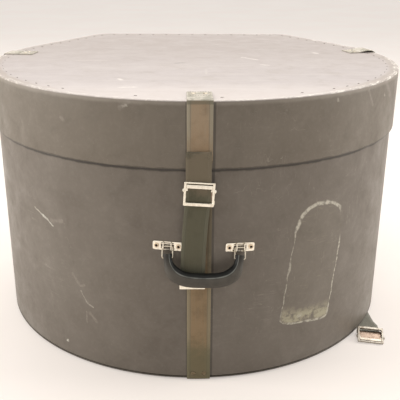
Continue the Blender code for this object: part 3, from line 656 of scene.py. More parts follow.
def panel_material():
    """The lid's panel: pale, partly with dust and partly as painted glare, paler towards the front as painted
    light and darker towards the back as painted shade; streaked, greyer outside its stitches.
    """
    made, tree, shader = material("pale_dusty_fibre_painted_light")
    spot = object_place(tree)
    look = place_group(tree, FIBRE_LOOK, {
        "Position": spot, "Place": spot, "Colour": (0.475, 0.430, 0.418, 1), "Pale": (0.66, 0.61, 0.585, 1),
        "Dark": (0.36, 0.32, 0.28, 1), "Scuffs": 0.8, "Stains": 0.45})
    streak = mapped(spot, Scale=(3.0, 34.0, 1.0), Rotation=(0, 0, 0.12))
    lines = between(clouds(streak, 1.0, 5.0, 0.6, 0.2), 0.42, 0.70)
    colour = blend_colour(times(lines, 0.35), look["Colour"], (0.60, 0.555, 0.52, 1))
    x, y, z = split(spot)[:3]
    reach = plan_reach(x, y)
    ragged = between(clouds(spot, 60.0, 3.0), 0.3, 0.7, -0.002, 0.002)
    reach = plus(reach, ragged)
    band = between(reach, *STITCH_BAND)
    side = between(unsigned(x), 0.10, 0.34, 0.10, 0.55)
    colour = blend_colour(times(band, side), colour, (0.36, 0.30, 0.24, 1))
    # Painted light: paler towards the front.
    front = between(y, -0.20, -0.36)
    colour = blend_colour(times(front, 0.6), colour, (0.70, 0.64, 0.605, 1))
    # Painted shade: darker towards the back.
    rear = between(y, -0.30, 0.22, 0.0, 0.86)
    colour = blend_colour(rear, colour, (0.375, 0.330, 0.305, 1))
    run = split(place_group(tree, UNROLLED, {"Position": spot})["Place"])[0]
    drawn = join_xyz(run, times(reach, 7.0))
    flakes = between(clouds(drawn, 38.0, 4.0, 0.75), 0.50, 0.58)
    worn = times(between(reach, *RIM_FLAKES), flakes)
    worn = times(worn, between(x, -0.10, 0.30, 0.60, 1.0))
    colour = blend_colour(worn, colour, (0.86, 0.82, 0.75, 1))
    for start, end, width, paint in LID_SCRATCHES:
        mask = place_group(tree, SCRATCH, {"Place": spot, "From": start, "To": end, "Width": width})["Mask"]
        colour = blend_colour(times(mask, 0.55), colour, paint)
    edge = between(z, CASE_H - 0.0009, CASE_H - 0.0020)
    colour = blend_colour(times(edge, 0.75), colour, (0.27, 0.235, 0.195, 1))
    aged(tree, shader, colour, look, 0.0010, 0.5)
    shader.inputs["Specular IOR Level"].default_value = 0.30
    return made


def webbing_material(name, colour, selvedge, dark, dirt, height_ramps=()):
    """Worn webbing, with colour ramps over height, each (height from, height to, share, colour); some paint
    glare and some paint shade.
    """
    made, tree, shader = material(name)
    spot = object_place(tree)
    place = put(tree, "UVMap", uv_map="webbing").outputs["UV"]
    look = place_group(tree, WEAVE, {"Place": place, "Position": spot, "Colour": colour,
                                     "Selvedge": selvedge, "Dark": dark, "Dirt": dirt})
    ragged = between(clouds(spot, 55.0, 4.0, 0.65), 0.3, 0.7, -0.010, 0.010)
    height = plus(split(spot)[2], ragged)
    colour_out = look["Colour"]
    for low, high, share, paint in height_ramps:
        level = split(spot)[2] if abs(high - low) < 0.003 else height
        colour_out = blend_colour(between(level, low, high, 0.0, share), colour_out, paint)
    aged(tree, shader, colour_out, look, 0.0004, 0.6)
    shader.inputs["Sheen Weight"].default_value = 0.15
    shader.inputs["Sheen Roughness"].default_value = 0.4
    return made


def metal_material(name, bright, brown, tarnish):
    made, tree, shader = material(name)
    look = place_group(tree, METAL, {"Position": object_place(tree), "Bright": bright, "Brown": brown,
                                     "Tarnish": tarnish})
    aged(tree, shader, look["Colour"], look, 0.0002, 0.4)
    tree.links.new(look["Metallic"], shader.inputs["Metallic"])
    return made


def grip_material():
    made, tree, shader = material("black_green_grip")
    inward = put(tree, "Attribute", attribute_name="inward").outputs["Fac"]
    # Black with painted shade on its inward side, a face partly painted light, and a painted highlight on the
    # ridge.
    look = place_group(tree, PEBBLE, {"Position": object_place(tree), "Inward": inward,
                                      "Colour": (0.004, 0.0045, 0.004, 1), "Bloom": (0.098, 0.088, 0.073, 1),
                                      "Ridge": (0.200, 0.205, 0.185, 1)})
    aged(tree, shader, look["Colour"], look, 0.0003, 0.5)
    shader.inputs["Specular IOR Level"].default_value = 0.28
    return made


def thread_material(name, colour, dark):
    """Waxed thread, twisted along its run."""
    made, tree, shader = material(name, 0.75)
    spot = object_place(tree)
    twist = put(tree, "TexWave", {"Vector": spot, "Scale": 420.0, "Distortion": 2.0, "Detail": 1.0})
    soil = between(clouds(spot, 90.0, 3.0), 0.35, 0.65)
    # Painted shade in the twist's grooves, mixed with soil.
    shade = times(plus(twist.outputs["Fac"], soil), 0.5)
    tree.links.new(blend_colour(shade, dark, colour), shader.inputs["Base Color"])
    bumped(tree, shader, twist.outputs["Fac"], 0.0002, 0.5)
    return made


WALL_SCRATCHES = (                # azimuth and height of both ends, half width and paint
    (-136.6, 0.2628, -134.6, 0.2580, 0.0014, GLUE),
    (-134.2, 0.2570, -131.6, 0.2502, 0.0022, CHALK),
    (-131.6, 0.2502, -129.4, 0.2415, 0.0014, CHALK),
    (-130.0, 0.2500, -126.0, 0.2560, 0.0050, SMUDGE),
    (-123.4, 0.1650, -121.4, 0.1480, 0.0040, SMUDGE),
    (-121.4, 0.1480, -119.9, 0.1500, 0.0034, SMUDGE),
    (-121.2, 0.1380, -119.6, 0.1200, 0.0016, DUST),
    (-119.6, 0.1200, -117.6, 0.1130, 0.0022, DUST),
    (-118.6, 0.1010, -116.6, 0.0869, 0.0044, SMUDGE),
    (-119.7, 0.1008, -119.8, 0.0812, 0.0026, SMUDGE),
    (-126.9, 0.0303, -126.8, 0.0300, 0.0034, CHALK),
    (-63.6, 0.0960, -62.9, 0.0970, 0.0050, CHALK),
)
SKIRT_SCRATCHES = (
    (-123.2, 0.4310, -122.8, 0.4280, 0.0050, SMUDGE),
    (-107.6, 0.4560, -105.7, 0.4670, 0.0050, SMUDGE),
    (-107.0, 0.4590, -106.0, 0.4600, 0.0024, DUST),
    (-56.4, 0.4590, -56.2, 0.4570, 0.0030, DUST),
    (-44.8, 0.4633, -42.1, 0.4362, 0.0040, SMUDGE),
    (-35.5, 0.4465, -35.3, 0.4445, 0.0034, DUST),
    (-34.6, 0.4644, -30.8, 0.4400, 0.0070, SMUDGE),
)
SIDE_DARK = (0.085, 0.070, 0.053, 1)
# The wall's band is painted shadow under the skirt's hem. It also darkens the wall that is hidden under the
# lid.
WALL_LOOK = fibre_material("taupe_fibre_wall", (0.160, 0.136, 0.110, 1), SIDE_DARK, 0.6, 0.25, WALL_SCRATCHES,
                           label=True, bands=((0.3614, 0.3644, 0.85, PAINTED_SHADE),))
# The skirt's lowest band is painted shade at its hem. Its upper band is wear at the rim.
SKIRT_LOOK = fibre_material("taupe_fibre_skirt", (0.168, 0.142, 0.110, 1), SIDE_DARK, 0.8, 0.25,
                            SKIRT_SCRATCHES, bands=((0.3705, 0.3690, 0.55, PAINTED_SHADE),
                                                    (0.4610, 0.4672, 0.45, RIM_WEAR)))
INSIDE_LOOK = fibre_material("bare_fibre_inside", (0.16, 0.105, 0.070, 1), (0.09, 0.055, 0.035, 1), 0.2, 0.3)
# The base panel's dark colour is painted shade along the case's foot.
BASE_LOOK = fibre_material("base_fibre_painted_shade", (0.085, 0.072, 0.055, 1), (0.035, 0.028, 0.021, 1), 0.3, 0.6)
EDGE_LOOK = fibre_material("worn_fibre_edge", (0.36, 0.32, 0.26, 1), (0.17, 0.13, 0.09, 1), 0.8, 0.6)
PANEL_LOOK = panel_material()
TAN_DARK = (0.085, 0.062, 0.034, 1)
# Lid straps: browner lower down, grey-olive from just under the rim, pale as painted glare from the rim's
# bend across the lid, greyer over the lid, and dark at their lower ends.
LID_KHAKI = webbing_material("khaki_webbing_lid", (0.52, 0.385, 0.255, 1), (0.47, 0.43, 0.33, 1), TAN_DARK,
                             0.36, ((0.445, 0.385, 0.55, (0.31, 0.205, 0.112, 1)),
                                    (0.4640, 0.4668, 0.60, (0.16, 0.155, 0.110, 1)),
                                    (0.4704, 0.4714, 0.74, (0.68, 0.635, 0.555, 1)),
                                    (0.4700, 0.4790, 0.55, (0.22, 0.21, 0.15, 1)),
                                    (0.388, 0.377, 0.60, (0.10, 0.092, 0.060, 1))))
# Body straps: darker as painted shade from about 0.2 m up to the buckle, where the tongue's tail and the
# handle hang over them, and olive towards the foot.
KHAKI = webbing_material("khaki_webbing_worn_painted_shade", (0.400, 0.276, 0.154, 1), (0.38, 0.325, 0.215, 1), TAN_DARK,
                         0.36, ((0.195, 0.235, 0.62, (0.085, 0.070, 0.045, 1)),
                                (0.095, 0.045, 0.72, (0.150, 0.140, 0.078, 1))))
GREY_KHAKI = webbing_material("grey_green_webbing", (0.250, 0.240, 0.195, 1), (0.34, 0.33, 0.28, 1),
                              (0.080, 0.076, 0.058, 1), 0.45)
OLIVE = webbing_material("olive_webbing_worn", (0.146, 0.137, 0.088, 1), (0.185, 0.178, 0.125, 1),
                         (0.055, 0.050, 0.030, 1), 0.42, ((0.322, 0.346, 0.66, (0.250, 0.200, 0.138, 1)),
                                                         (0.388, 0.398, 0.55, (0.085, 0.082, 0.055, 1))))
NICKEL = metal_material("warm_nickel", (0.90, 0.85, 0.73, 1), (0.38, 0.27, 0.17, 1), 0.28)
EYELET = metal_material("browned_eyelet", (0.72, 0.60, 0.45, 1), (0.22, 0.14, 0.09, 1), 0.55)
WIRE = metal_material("worn_wire", (0.66, 0.60, 0.49, 1), (0.24, 0.17, 0.11, 1), 0.65)
DULL_NICKEL = metal_material("dull_nickel", (0.37, 0.34, 0.29, 1), (0.19, 0.14, 0.095, 1), 0.60)
CREAM_NICKEL = metal_material("cream_nickel", (0.47, 0.42, 0.35, 1), (0.26, 0.19, 0.13, 1), 0.50)
COPPER = metal_material("rosy_copper", (0.31, 0.235, 0.185, 1), (0.20, 0.14, 0.10, 1), 0.65)
# The eyelets' holes: painted shade, dark as if deep.
RIVET_HOLE = metal_material("rivet_hole_painted_shade", (0.035, 0.027, 0.020, 1), (0.016, 0.012, 0.010, 1), 1.0)
RIVET = metal_material("dull_rivet", (0.17, 0.135, 0.085, 1), (0.10, 0.080, 0.050, 1), 0.9)
PALE_RIVET = metal_material("painted_rivet", (0.50, 0.45, 0.36, 1), (0.30, 0.25, 0.18, 1), 1.0)
GRIP = grip_material()
DARK_THREAD = thread_material("dark_thread", (0.150, 0.115, 0.080, 1), (0.060, 0.045, 0.032, 1))
TAN_THREAD = thread_material("tan_thread", (0.30, 0.25, 0.17, 1), (0.12, 0.095, 0.06, 1))


# ---- Modelling -------------------------------------------------------------------------------

def only(obj):
    bpy.ops.object.select_all(action="DESELECT")
    obj.select_set(True)
    bpy.context.view_layer.objects.active = obj


def edit(obj):
    only(obj)
    bpy.ops.object.mode_set(mode="EDIT")


def done():
    bpy.ops.object.mode_set(mode="OBJECT")


def pick(kind, test):
    """In edit mode, selects only the vertices, edges or faces that pass a test; gives how many."""
    bpy.ops.mesh.select_mode(type=kind)
    bpy.ops.mesh.select_all(action="DESELECT")
    mesh = bpy.context.edit_object.data
    bm = bmesh.from_edit_mesh(mesh)
    bm.normal_update()
    chosen = [part for part in {"VERT": bm.verts, "EDGE": bm.edges, "FACE": bm.faces}[kind] if test(part)]
    for part in chosen:
        part.select_set(True)
    bm.select_flush_mode()
    bmesh.update_edit_mesh(mesh)
    return len(chosen)


def added(name):
    """The primitive just added, its place put into its mesh."""
    obj = bpy.context.object
    obj.name = name
    obj.data.name = name
    bpy.ops.object.transform_apply(location=True, rotation=True, scale=True)
    return obj


def block(name, low, high):
    bpy.ops.object.select_all(action="DESELECT")
    middle = [(a + b) / 2 for a, b in zip(low, high)]
    size = [b - a for a, b in zip(low, high)]
    bpy.ops.mesh.primitive_cube_add(size=1.0, location=middle, scale=size)
    return added(name)


def rod(name, start, end, radius, sides=20):
    bpy.ops.object.select_all(action="DESELECT")
    start, end = Vector(start), Vector(end)
    turn = (end - start).to_track_quat("Z", "Y").to_euler()
    bpy.ops.mesh.primitive_cylinder_add(vertices=sides, radius=radius, depth=(end - start).length,
                                        location=(start + end) / 2, rotation=turn)
    return added(name)


def bevel_edges(obj, test, width, segments=2):
    edit(obj)
    if pick("EDGE", test):
        bpy.ops.mesh.bevel(offset=width, segments=segments, affect="EDGES", clamp_overlap=True)
    done()


def along(axis):
    """A test for edges that run along an axis."""
    def test(edge):
        line = (edge.verts[1].co - edge.verts[0].co).normalized()
        return abs(line[axis]) > 0.99
    return test


def applied(obj, kind, **settings):
    """A modifier added and applied at once."""
    only(obj)
    made = obj.modifiers.new(kind.lower(), kind)
    for name, value in settings.items():
        setattr(made, name, value)
    bpy.ops.object.modifier_apply(modifier=made.name)


def cut(obj, tool, operation="DIFFERENCE"):
    applied(obj, "BOOLEAN", object=tool, operation=operation, solver="EXACT")
    bpy.data.objects.remove(tool, do_unlink=True)


def weld(obj, tool):
    cut(obj, tool, "UNION")


def softened(obj, width, segments=2, angle=40):
    """Rounds every sharp edge by a little."""
    applied(obj, "BEVEL", width=width, segments=segments, limit_method="ANGLE", angle_limit=radians(angle),
            harden_normals=False)


def joined(name, objs):
    only(objs[0])
    for obj in objs[1:]:
        obj.select_set(True)
    if len(objs) > 1:
        bpy.ops.object.join()
    objs[0].name = name
    return objs[0]


def copy_of(obj, name, matrix):
    """A copy with its own mesh, turned and moved in its mesh."""
    made = bpy.data.objects.new(name, obj.data.copy())
    bpy.context.scene.collection.objects.link(made)
    made.data.transform(matrix)
    return made


def dress(obj, look, body, nodes=(), smooth=35, also=()):
    """Finishes a piece: its materials, shading, body and the nodes it stands for."""
    obj.data.materials.clear()
    for made in (look, *also):
        obj.data.materials.append(made)
    only(obj)
    bpy.ops.object.shade_smooth_by_angle(angle=radians(smooth))
    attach(obj, body)
    if nodes:
        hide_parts(*nodes)
    return obj


def two_looks(obj, look, second, body, node):
    """Finishes a piece some of whose faces are marked for a second look."""
    marks = [face.material_index for face in obj.data.polygons]
    dress(obj, look, body, [node], also=(second,))
    for face, mark in zip(obj.data.polygons, marks):
        face.material_index = min(mark, 1)


def turn_z(angle):
    return Matrix.Rotation(angle, 4, "Z")


def side_frame(side):
    """Turns what is modelled at the front to a strap's place round the case."""
    return turn_z(STRAP_AZ[side] - FRONT_AZ)


def radial(az, r, z):
    return Vector((r * cos(az), r * sin(az), z))


def arc(centre, radius, start, end, steps):
    return [(centre[0] + radius * cos(start + (end - start) * i / steps),
             centre[1] + radius * sin(start + (end - start) * i / steps)) for i in range(steps + 1)]


# ---- Shells ----------------------------------------------------------------------------------

def foot_corner(out):
    """The sharp corner where a shoulder's line meets the foot's."""
    start = radial(SHOULDER, BODY_R + out, 0)
    step = (FOOT_Y + out - start.y) / cos(SHOULDER)
    return start + Vector((-sin(SHOULDER), cos(SHOULDER), 0)) * step


def plan(name, out, z):
    """The case's plan as a face: a circle with its back cut away and drawn out into the flat foot."""
    bpy.ops.object.select_all(action="DESELECT")
    radius = BODY_R + out
    bpy.ops.mesh.primitive_circle_add(vertices=PLAN_STEPS, radius=radius, location=(0, 0, z))
    obj = added(name)
    edit(obj)
    limit = radius * sin(SHOULDER) + 0.0001
    pick("VERT", lambda v: v.co.y > limit)
    bpy.ops.mesh.delete(type="VERT")
    corner = foot_corner(out)
    tangent = (CORNER_R + out) * tan((pi / 2 - SHOULDER) / 2)
    for side in (-1, 1):
        start = radial(SHOULDER, radius, z)
        start.x *= side
        pick("VERT", lambda v: (v.co - start).length < 0.0001)
        seam = SEAM_ALONG + LAP_WIDE
        line = (Vector((corner.x * side, corner.y, z)) - start)
        straight = line.length - tangent
        unit = line.normalized()
        stops = [straight * i / 8 for i in range(1, 8)] + [seam, seam + LAP_STEP]
        at = 0.0
        for stop in sorted(stops) + [line.length]:
            bpy.ops.mesh.extrude_region_move(TRANSFORM_OT_translate={"value": unit * (stop - at)})
            at = stop
    pick("VERT", lambda v: v.co.y > corner.y - 0.0001)
    bpy.ops.mesh.edge_face_add()
    pick("VERT", lambda v: v.co.y > corner.y - 0.0001)
    bpy.ops.mesh.bevel(offset=tangent, segments=12, affect="VERTICES", profile=0.5)
    pick("EDGE", lambda e: min(v.co.y for v in e.verts) > corner.y - 0.0001 and e.calc_length() > 0.1)
    bpy.ops.mesh.subdivide(number_cuts=11)
    bpy.ops.mesh.select_all(action="SELECT")
    bpy.ops.mesh.edge_face_add()
    done()
    return obj


def raised(obj, height, rows):
    """Draws a plan face up into a closed block and cuts its side into rows."""
    edit(obj)
    bpy.ops.mesh.select_all(action="SELECT")
    bpy.ops.mesh.extrude_region_move(TRANSFORM_OT_translate={"value": (0, 0, height)})
    if rows > 1:
        pick("EDGE", along(2))
        bpy.ops.mesh.subdivide(number_cuts=rows - 1)
    bpy.ops.mesh.select_all(action="SELECT")
    bpy.ops.mesh.normals_make_consistent(inside=False)
    done()


def level_rim(z):
    """A test for the edges of a flat rim at a height."""
    return lambda e: all(abs(v.co.z - z) < 0.00005 for v in e.verts)


def opened(obj, open_z, flange_z, bend):
    """Takes away one end of a block and turns the other in to a flange with a rounded bend."""
    edit(obj)
    pick("FACE", lambda f: abs(f.normal.z) > 0.9 and abs(f.calc_center_median().z - open_z) < 0.0001)
    bpy.ops.mesh.delete(type="FACE")
    pick("FACE", lambda f: abs(f.normal.z) > 0.9 and len(f.verts) > 100)
    bpy.ops.mesh.inset(thickness=FLANGE, use_boundary=True, use_even_offset=True)
    bpy.ops.mesh.delete(type="FACE")
    def outer_rim(edge):
        if not all(abs(v.co.z - flange_z) < 0.00005 for v in edge.verts):
            return False
        faces = edge.link_faces
        return len(faces) == 2 and abs(faces[0].normal.z - faces[1].normal.z) > 0.5
    pick("EDGE", outer_rim)
    bpy.ops.mesh.bevel(offset=bend, segments=4, affect="EDGES")
    done()


def lapped(obj, side):
    """A groove on the left (-1) or right (1) shoulder, where a lap seam's outer sheet ends."""
    edit(obj)
    az = SHOULDER if side > 0 else pi - SHOULDER
    normal = radial(az, 1, 0)
    start = radial(az, BODY_R, 0)
    unit = Vector((-side * sin(SHOULDER), cos(SHOULDER), 0))

    def in_groove(face):
        middle = face.calc_center_median()
        span = (middle - start).dot(unit)
        beside = span - SEAM_ALONG - LAP_WIDE
        return face.normal.dot(normal) > 0.99 and abs(beside - LAP_STEP / 2) < LAP_STEP / 2
    if pick("FACE", in_groove):
        bpy.ops.transform.translate(value=normal * -LAP_STEP)
    done()


def shell(name, look, out, open_z, flange_z, rows, seam, bend):
    """A bent sheet with one open end and a flange; its slots are outside, inside and cut edge."""
    low, high = sorted((open_z, flange_z))
    obj = plan(name, out, low)
    raised(obj, high - low, rows)
    opened(obj, open_z, flange_z, bend)
    lapped(obj, seam)
    for made in (look, INSIDE_LOOK, EDGE_LOOK):
        obj.data.materials.append(made)
    applied(obj, "SOLIDIFY", thickness=FIBRE, offset=-1.0, use_even_offset=True, use_quality_normals=True,
            material_offset=1, material_offset_rim=2)
    softened(obj, CUT_EDGE, 2, 60)
    return obj


def build_shells():
    wall = shell("case_wall", WALL_LOOK, 0, WALL_TOP, RIM_UP + FIBRE + GAP, 10, -1, FLANGE_BEND)
    finish_shell(wall, "body", "body_wall")
    skirt = shell("lid_side", SKIRT_LOOK, LID_OUT, HEM_Z, CASE_H - FIBRE, 4, 1, RIM_BEND)
    finish_shell(skirt, "lid", "lid_skirt")
    top = plan("lid_top", LID_OUT, CASE_H - FIBRE)
    raised(top, FIBRE, 1)
    bevel_edges(top, level_rim(CASE_H), PANEL_EDGE, 5)
    dress(top, PANEL_LOOK, "lid", ["lid_panel"])


def finish_shell(obj, body, node):
    only(obj)
    bpy.ops.object.shade_smooth_by_angle(angle=radians(35))
    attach(obj, body)
    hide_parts(node)


# ---- Webbing ---------------------------------------------------------------------------------

def resampled(path, step):
    """A path of points with more of them on its long parts."""
    points = [Vector(path[0])]
    for a, b in zip(path, path[1:]):
        a, b = Vector(a), Vector(b)
        count = max(1, round((b - a).length / step))
        points += [a.lerp(b, (i + 1) / count) for i in range(count)]
    return points


def front_rows(path, shift=None, step=0.008):
    """Pairs of points across a strap at the front whose middle follows (distance out, height)."""
    rows = []
    for point in resampled([(r, z, 0) for r, z in path], step):
        r, z = point.x, point.y
        x = shift(z) if shift else 0.0
        rows.append((Vector((x - WEB_W / 2, -r, z)), Vector((x + WEB_W / 2, -r, z))))
    return rows


def band(name, rows, matrix=None, hug=0.0, across=8):
    """Webbing laid along rows of (left, right) points, its UV in metres, thickened and rounded."""
    bpy.ops.object.select_all(action="DESELECT")
    count = len(rows) - 1
    bpy.ops.mesh.primitive_grid_add(x_subdivisions=across, y_subdivisions=count, size=1.0)
    obj = added(name)
    runs = [0.0]
    for a, b in zip(rows, rows[1:]):
        runs.append(runs[-1] + ((a[0] + a[1]) / 2 - (b[0] + b[1]) / 2).length)
    places = []
    for vert in obj.data.vertices:
        i, j = round((vert.co.x + 0.5) * across), round((vert.co.y + 0.5) * count)
        places.append((i / across, runs[j]))
        left, right = rows[j]
        spot = left.lerp(right, i / across)
        spot.y += hug * (spot.x - (left.x + right.x) / 2) ** 2
        vert.co = matrix @ spot if matrix else spot
    layer = obj.data.uv_layers.active
    layer.name = "webbing"
    for loop in obj.data.loops:
        share, run = places[loop.vertex_index]
        layer.data[loop.index].uv = ((share - 0.5) * WEB_W, run)
    applied(obj, "SOLIDIFY", thickness=WEB_T, offset=0.0, use_even_offset=True)
    softened(obj, WEB_EDGE, 2, 60)
    return obj


HUG = 0.5 / BODY_R


def tail_shift(z):
    """Sideways place of the front tongue's middle: it leans to the left below its buckle."""
    stops = ((0.170, -0.0108), (0.205, -0.0100), (0.240, -0.0088), (0.270, -0.0070), (0.295, -0.0050),
             (0.316, -0.0026), (0.332, -0.0016), (0.400, -0.0015))
    z = min(max(z, stops[0][0]), stops[-1][0])
    for (z0, x0), (z1, x1) in zip(stops, stops[1:]):
        if z <= z1:
            return x0 + (x1 - x0) * (z - z0) / (z1 - z0)
    return stops[-1][1]


def lid_strap(side, low):
    top = CASE_H + GAP + WEB_T / 2
    corner = (LID_WEB_R - LID_WEB_BEND, top - LID_WEB_BEND)
    lift = RIGHT_LIFT if side == "right" else ()
    path = [(LID_R - LID_WEB_IN, top)] + [(LID_R - inward, top + up) for inward, up in lift]
    path += arc(corner, LID_WEB_BEND, pi / 2, 0, 6) + [(LID_WEB_R, low)]
    obj = band(f"{side}_lid_webbing", front_rows(path), side_frame(side), HUG)
    dress(obj, LID_KHAKI, "lid", [f"{side}_lid_strap"])


def tip(name, matrix, body, node):
    """A thin metal channel folded over a strap's end; its end is at z = 0 and the strap goes up."""
    half, deep = WEB_W / 2 + GAP + TIP_T, WEB_T / 2 + GAP + TIP_T
    obj = block(name, (-half, -deep, -GAP - TIP_T), (half, deep, TIP_H - GAP - TIP_T))
    bevel_edges(obj, lambda e: along(0)(e) and max(v.co.z for v in e.verts) < 0, TIP_FOLD, 3)
    bevel_edges(obj, lambda e: along(1)(e) and max(v.co.z for v in e.verts) < 0, TIP_CORNER, 3)
    inside = block("inside", (-half + TIP_T, -deep + TIP_T, -GAP), (half - TIP_T, deep - TIP_T, 2 * TIP_H))
    cut(obj, inside)
    obj.data.transform(matrix)
    dress(obj, NICKEL, body, [node])


def tongues():
    for side in ("front", "left"):
        shift = tail_shift if side == "front" else (lambda z: TONGUE_X)
        path = [(TONGUE_R, TONGUE_TOP), (TONGUE_R, TONGUE_END)]
        obj = band(f"{side}_tongue_webbing", front_rows(path, shift, 0.006), side_frame(side))
        dress(obj, OLIVE, "lid", [f"{side}_tongue"])
        lean = side_frame(side) @ Matrix.Translation((shift(TONGUE_END), -TONGUE_R, TONGUE_END))
        tip(f"{side}_metal_tip", lean, "lid", f"{side}_strap_tip")
    axis = side_frame("right") @ Matrix.Translation((0, -LID_WEB_R, RIGHT_WEB_END - HINGE_DROP))
    low = -HINGE_GAP - LOOSE_TONGUE
    obj = band("right_tongue_webbing", front_rows([(0, -HINGE_GAP), (0, low)], step=0.006), axis)
    dress(obj, OLIVE, "loose_tongue", ["right_tongue"])
    tip("right_metal_tip", axis @ Matrix.Translation((0, 0, low)), "loose_tongue", "right_strap_tip")


def upright_straps():
    bar = (BODY_R + BAR_OFF, BUCKLE_Z + BAR_Z)
    lap = WEB_R + WEB_T + GAP
    edge = (BODY_R - PANEL_ROUND, RIM_UP + PANEL_ROUND)
    path = [(BODY_R - UNDER_IN, UNDER_Z)] + arc(edge, WEB_R - edge[0], -pi / 2, 0, 6)
    path += arc(bar, LOOP_R, pi, 0, 8)
    path += [(bar[0] + LOOP_R, bar[1] - BEND_END), (lap, bar[1] - LAP_FROM), (lap, bar[1] - LAP_END)]
    for side in ("front", "left"):
        obj = band(f"{side}_body_webbing", front_rows(path), side_frame(side), HUG)
        dress(obj, KHAKI, "body", [f"{side}_body_strap"])


def smooth_step(t):
    return t * t * (3 - 2 * t)


def undone_strap():
    """The right strap: flat from its rivets under the rim, out over the floor and round the rear bar."""
    rows = []
    for start, end in zip(STRAP_RUN, STRAP_RUN[1:]):
        for i in range(4):
            x, y, turn, z = (a + (b - a) * i / 4 for a, b in zip(start, end))
            half = radial(turn, WEB_W / 2, 0)
            rows.append((Vector((x, y, z)) - half, Vector((x, y, z)) + half))
    flat, back = radial(LOOSE_TURN, 1, 0), radial(LOOSE_TURN + pi / 2, 1, 0)
    path = [(0.030, FLOOR_Z), (0.022, FLOOR_Z), (STRAIGHT, FLOOR_Z), (BEND_END, FLOOR_Z)]
    path += arc((0, BAR_OFF), LOOP_R, -pi / 2, -1.5 * pi, 8) + [(BEND_END / 3, BAR_OFF + LOOP_R)]
    path += [(step, WEB_T * 1.5 + 2 * GAP) for step in LOOSE_LAP]
    for step, z in path:
        spot = Vector((*LOOSE_BAR, z)) + back * step
        rows.append((spot - flat * WEB_W / 2, spot + flat * WEB_W / 2))
    obj = band("right_body_webbing", rows)
    dress(obj, GREY_KHAKI, "body", ["right_body_strap"])


# ---- Buckles ---------------------------------------------------------------------------------

def buckle_frame(name):
    """The ring with its ears, cheeks and rear bar; the face it lies on is y = 0."""
    half_w, half_h = BUCKLE_W / 2, BUCKLE_H / 2
    lean = Matrix.Rotation(BUCKLE_LEAN, 4, "Y")
    ring = block(name, (-half_w, -RING_TO, -half_h), (half_w, -RING_FROM, half_h))
    bevel_edges(ring, along(1), RING_CORNER, 4)
    window = block("window", (-half_w + RING_SIDE, -RING_TO - 0.001, -half_h + RING_FOOT),
                   (half_w - RING_SIDE, 0, half_h - RING_TOP))
    bevel_edges(window, along(1), RING_INNER, 3)
    cut(ring, window)
    softened(ring, RING_EDGE, 3, 60)
    ring.data.transform(lean)
    for side in (-1, 1):
        ear = rod("ear", (side * (half_w - 0.001), -PIVOT_OFF, PIVOT_Z),
                  (side * (half_w + EAR_OUT), -PIVOT_OFF, PIVOT_Z), EAR_R, 24)
        bevel_edges(ear, lambda e: abs(e.verts[0].co.x - e.verts[1].co.x) < 1e-6
                    and abs(e.verts[0].co.x) > half_w, EAR_EDGE, 2)
        ear.data.transform(lean)
        weld(ring, ear)
        x_low, x_high = sorted((side * SLOT_HALF, side * half_w))
        cheek = block("cheek", (x_low, -RING_FROM - 0.001, BAR_Z - CHEEK_H / 2),
                      (x_high, -BAR_OFF + BAR_R, BAR_Z + CHEEK_H / 2))
        bevel_edges(cheek, lambda e: along(0)(e) and min(v.co.y for v in e.verts) > -0.006, 0.0009, 3)
        weld(ring, cheek)
    reach = half_w - 0.0005
    weld(ring, block("back_plate", (-reach, -BACK_PLATE[1], BAR_Z + BAR_R), (reach, -BACK_PLATE[0], PIVOT_Z)))
    weld(ring, rod("bar", (-reach, -BAR_OFF, BAR_Z), (reach, -BAR_OFF, BAR_Z), BAR_R, 16))
    past = half_w + 2 * EAR_OUT
    hole = rod("hole", (-past, -PIVOT_OFF, PIVOT_Z), (past, -PIVOT_OFF, PIVOT_Z), PIN_R + GAP, 16)
    hole.data.transform(lean)
    cut(ring, hole)
    low, high = BACK_PLATE
    for face in ring.data.polygons:
        if low - 0.0001 < -face.center.y < high + 0.0001 and abs(face.center.x) < SLOT_HALF:
            face.material_index = 1
    return ring


def buckle_clamp(name):
    """The clamp bar with its arms and pins, its origin on the pins' axis."""
    reach, deep = BUCKLE_W / 2 - RING_SIDE - GAP, CLAMP_T / 2
    bar = block(name, (-reach, -deep, CLAMP_FROM), (reach, deep, CLAMP_FROM + CLAMP_H))
    bevel_edges(bar, along(0), CLAMP_EDGE, 3)
    for side in (-1, 1):
        x_low, x_high = sorted((side * (reach - CLAMP_ARM), side * reach))
        arm = block("arm", (x_low, -deep, -deep), (x_high, deep, CLAMP_FROM + 0.001))
        bevel_edges(arm, lambda e: along(0)(e) and max(v.co.z for v in e.verts) < 0, ARM_END, 3)
        weld(bar, arm)
        end = BUCKLE_W / 2 + EAR_OUT + PIN_OUT
        pin = rod("pin", (side * (reach - 0.002), 0, 0), (side * end, 0, 0), PIN_R, 16)
        bevel_edges(pin, lambda e: all(abs(v.co.x) > end - 0.0001 for v in e.verts), PIN_EDGE, 2)
        weld(bar, pin)
    return bar


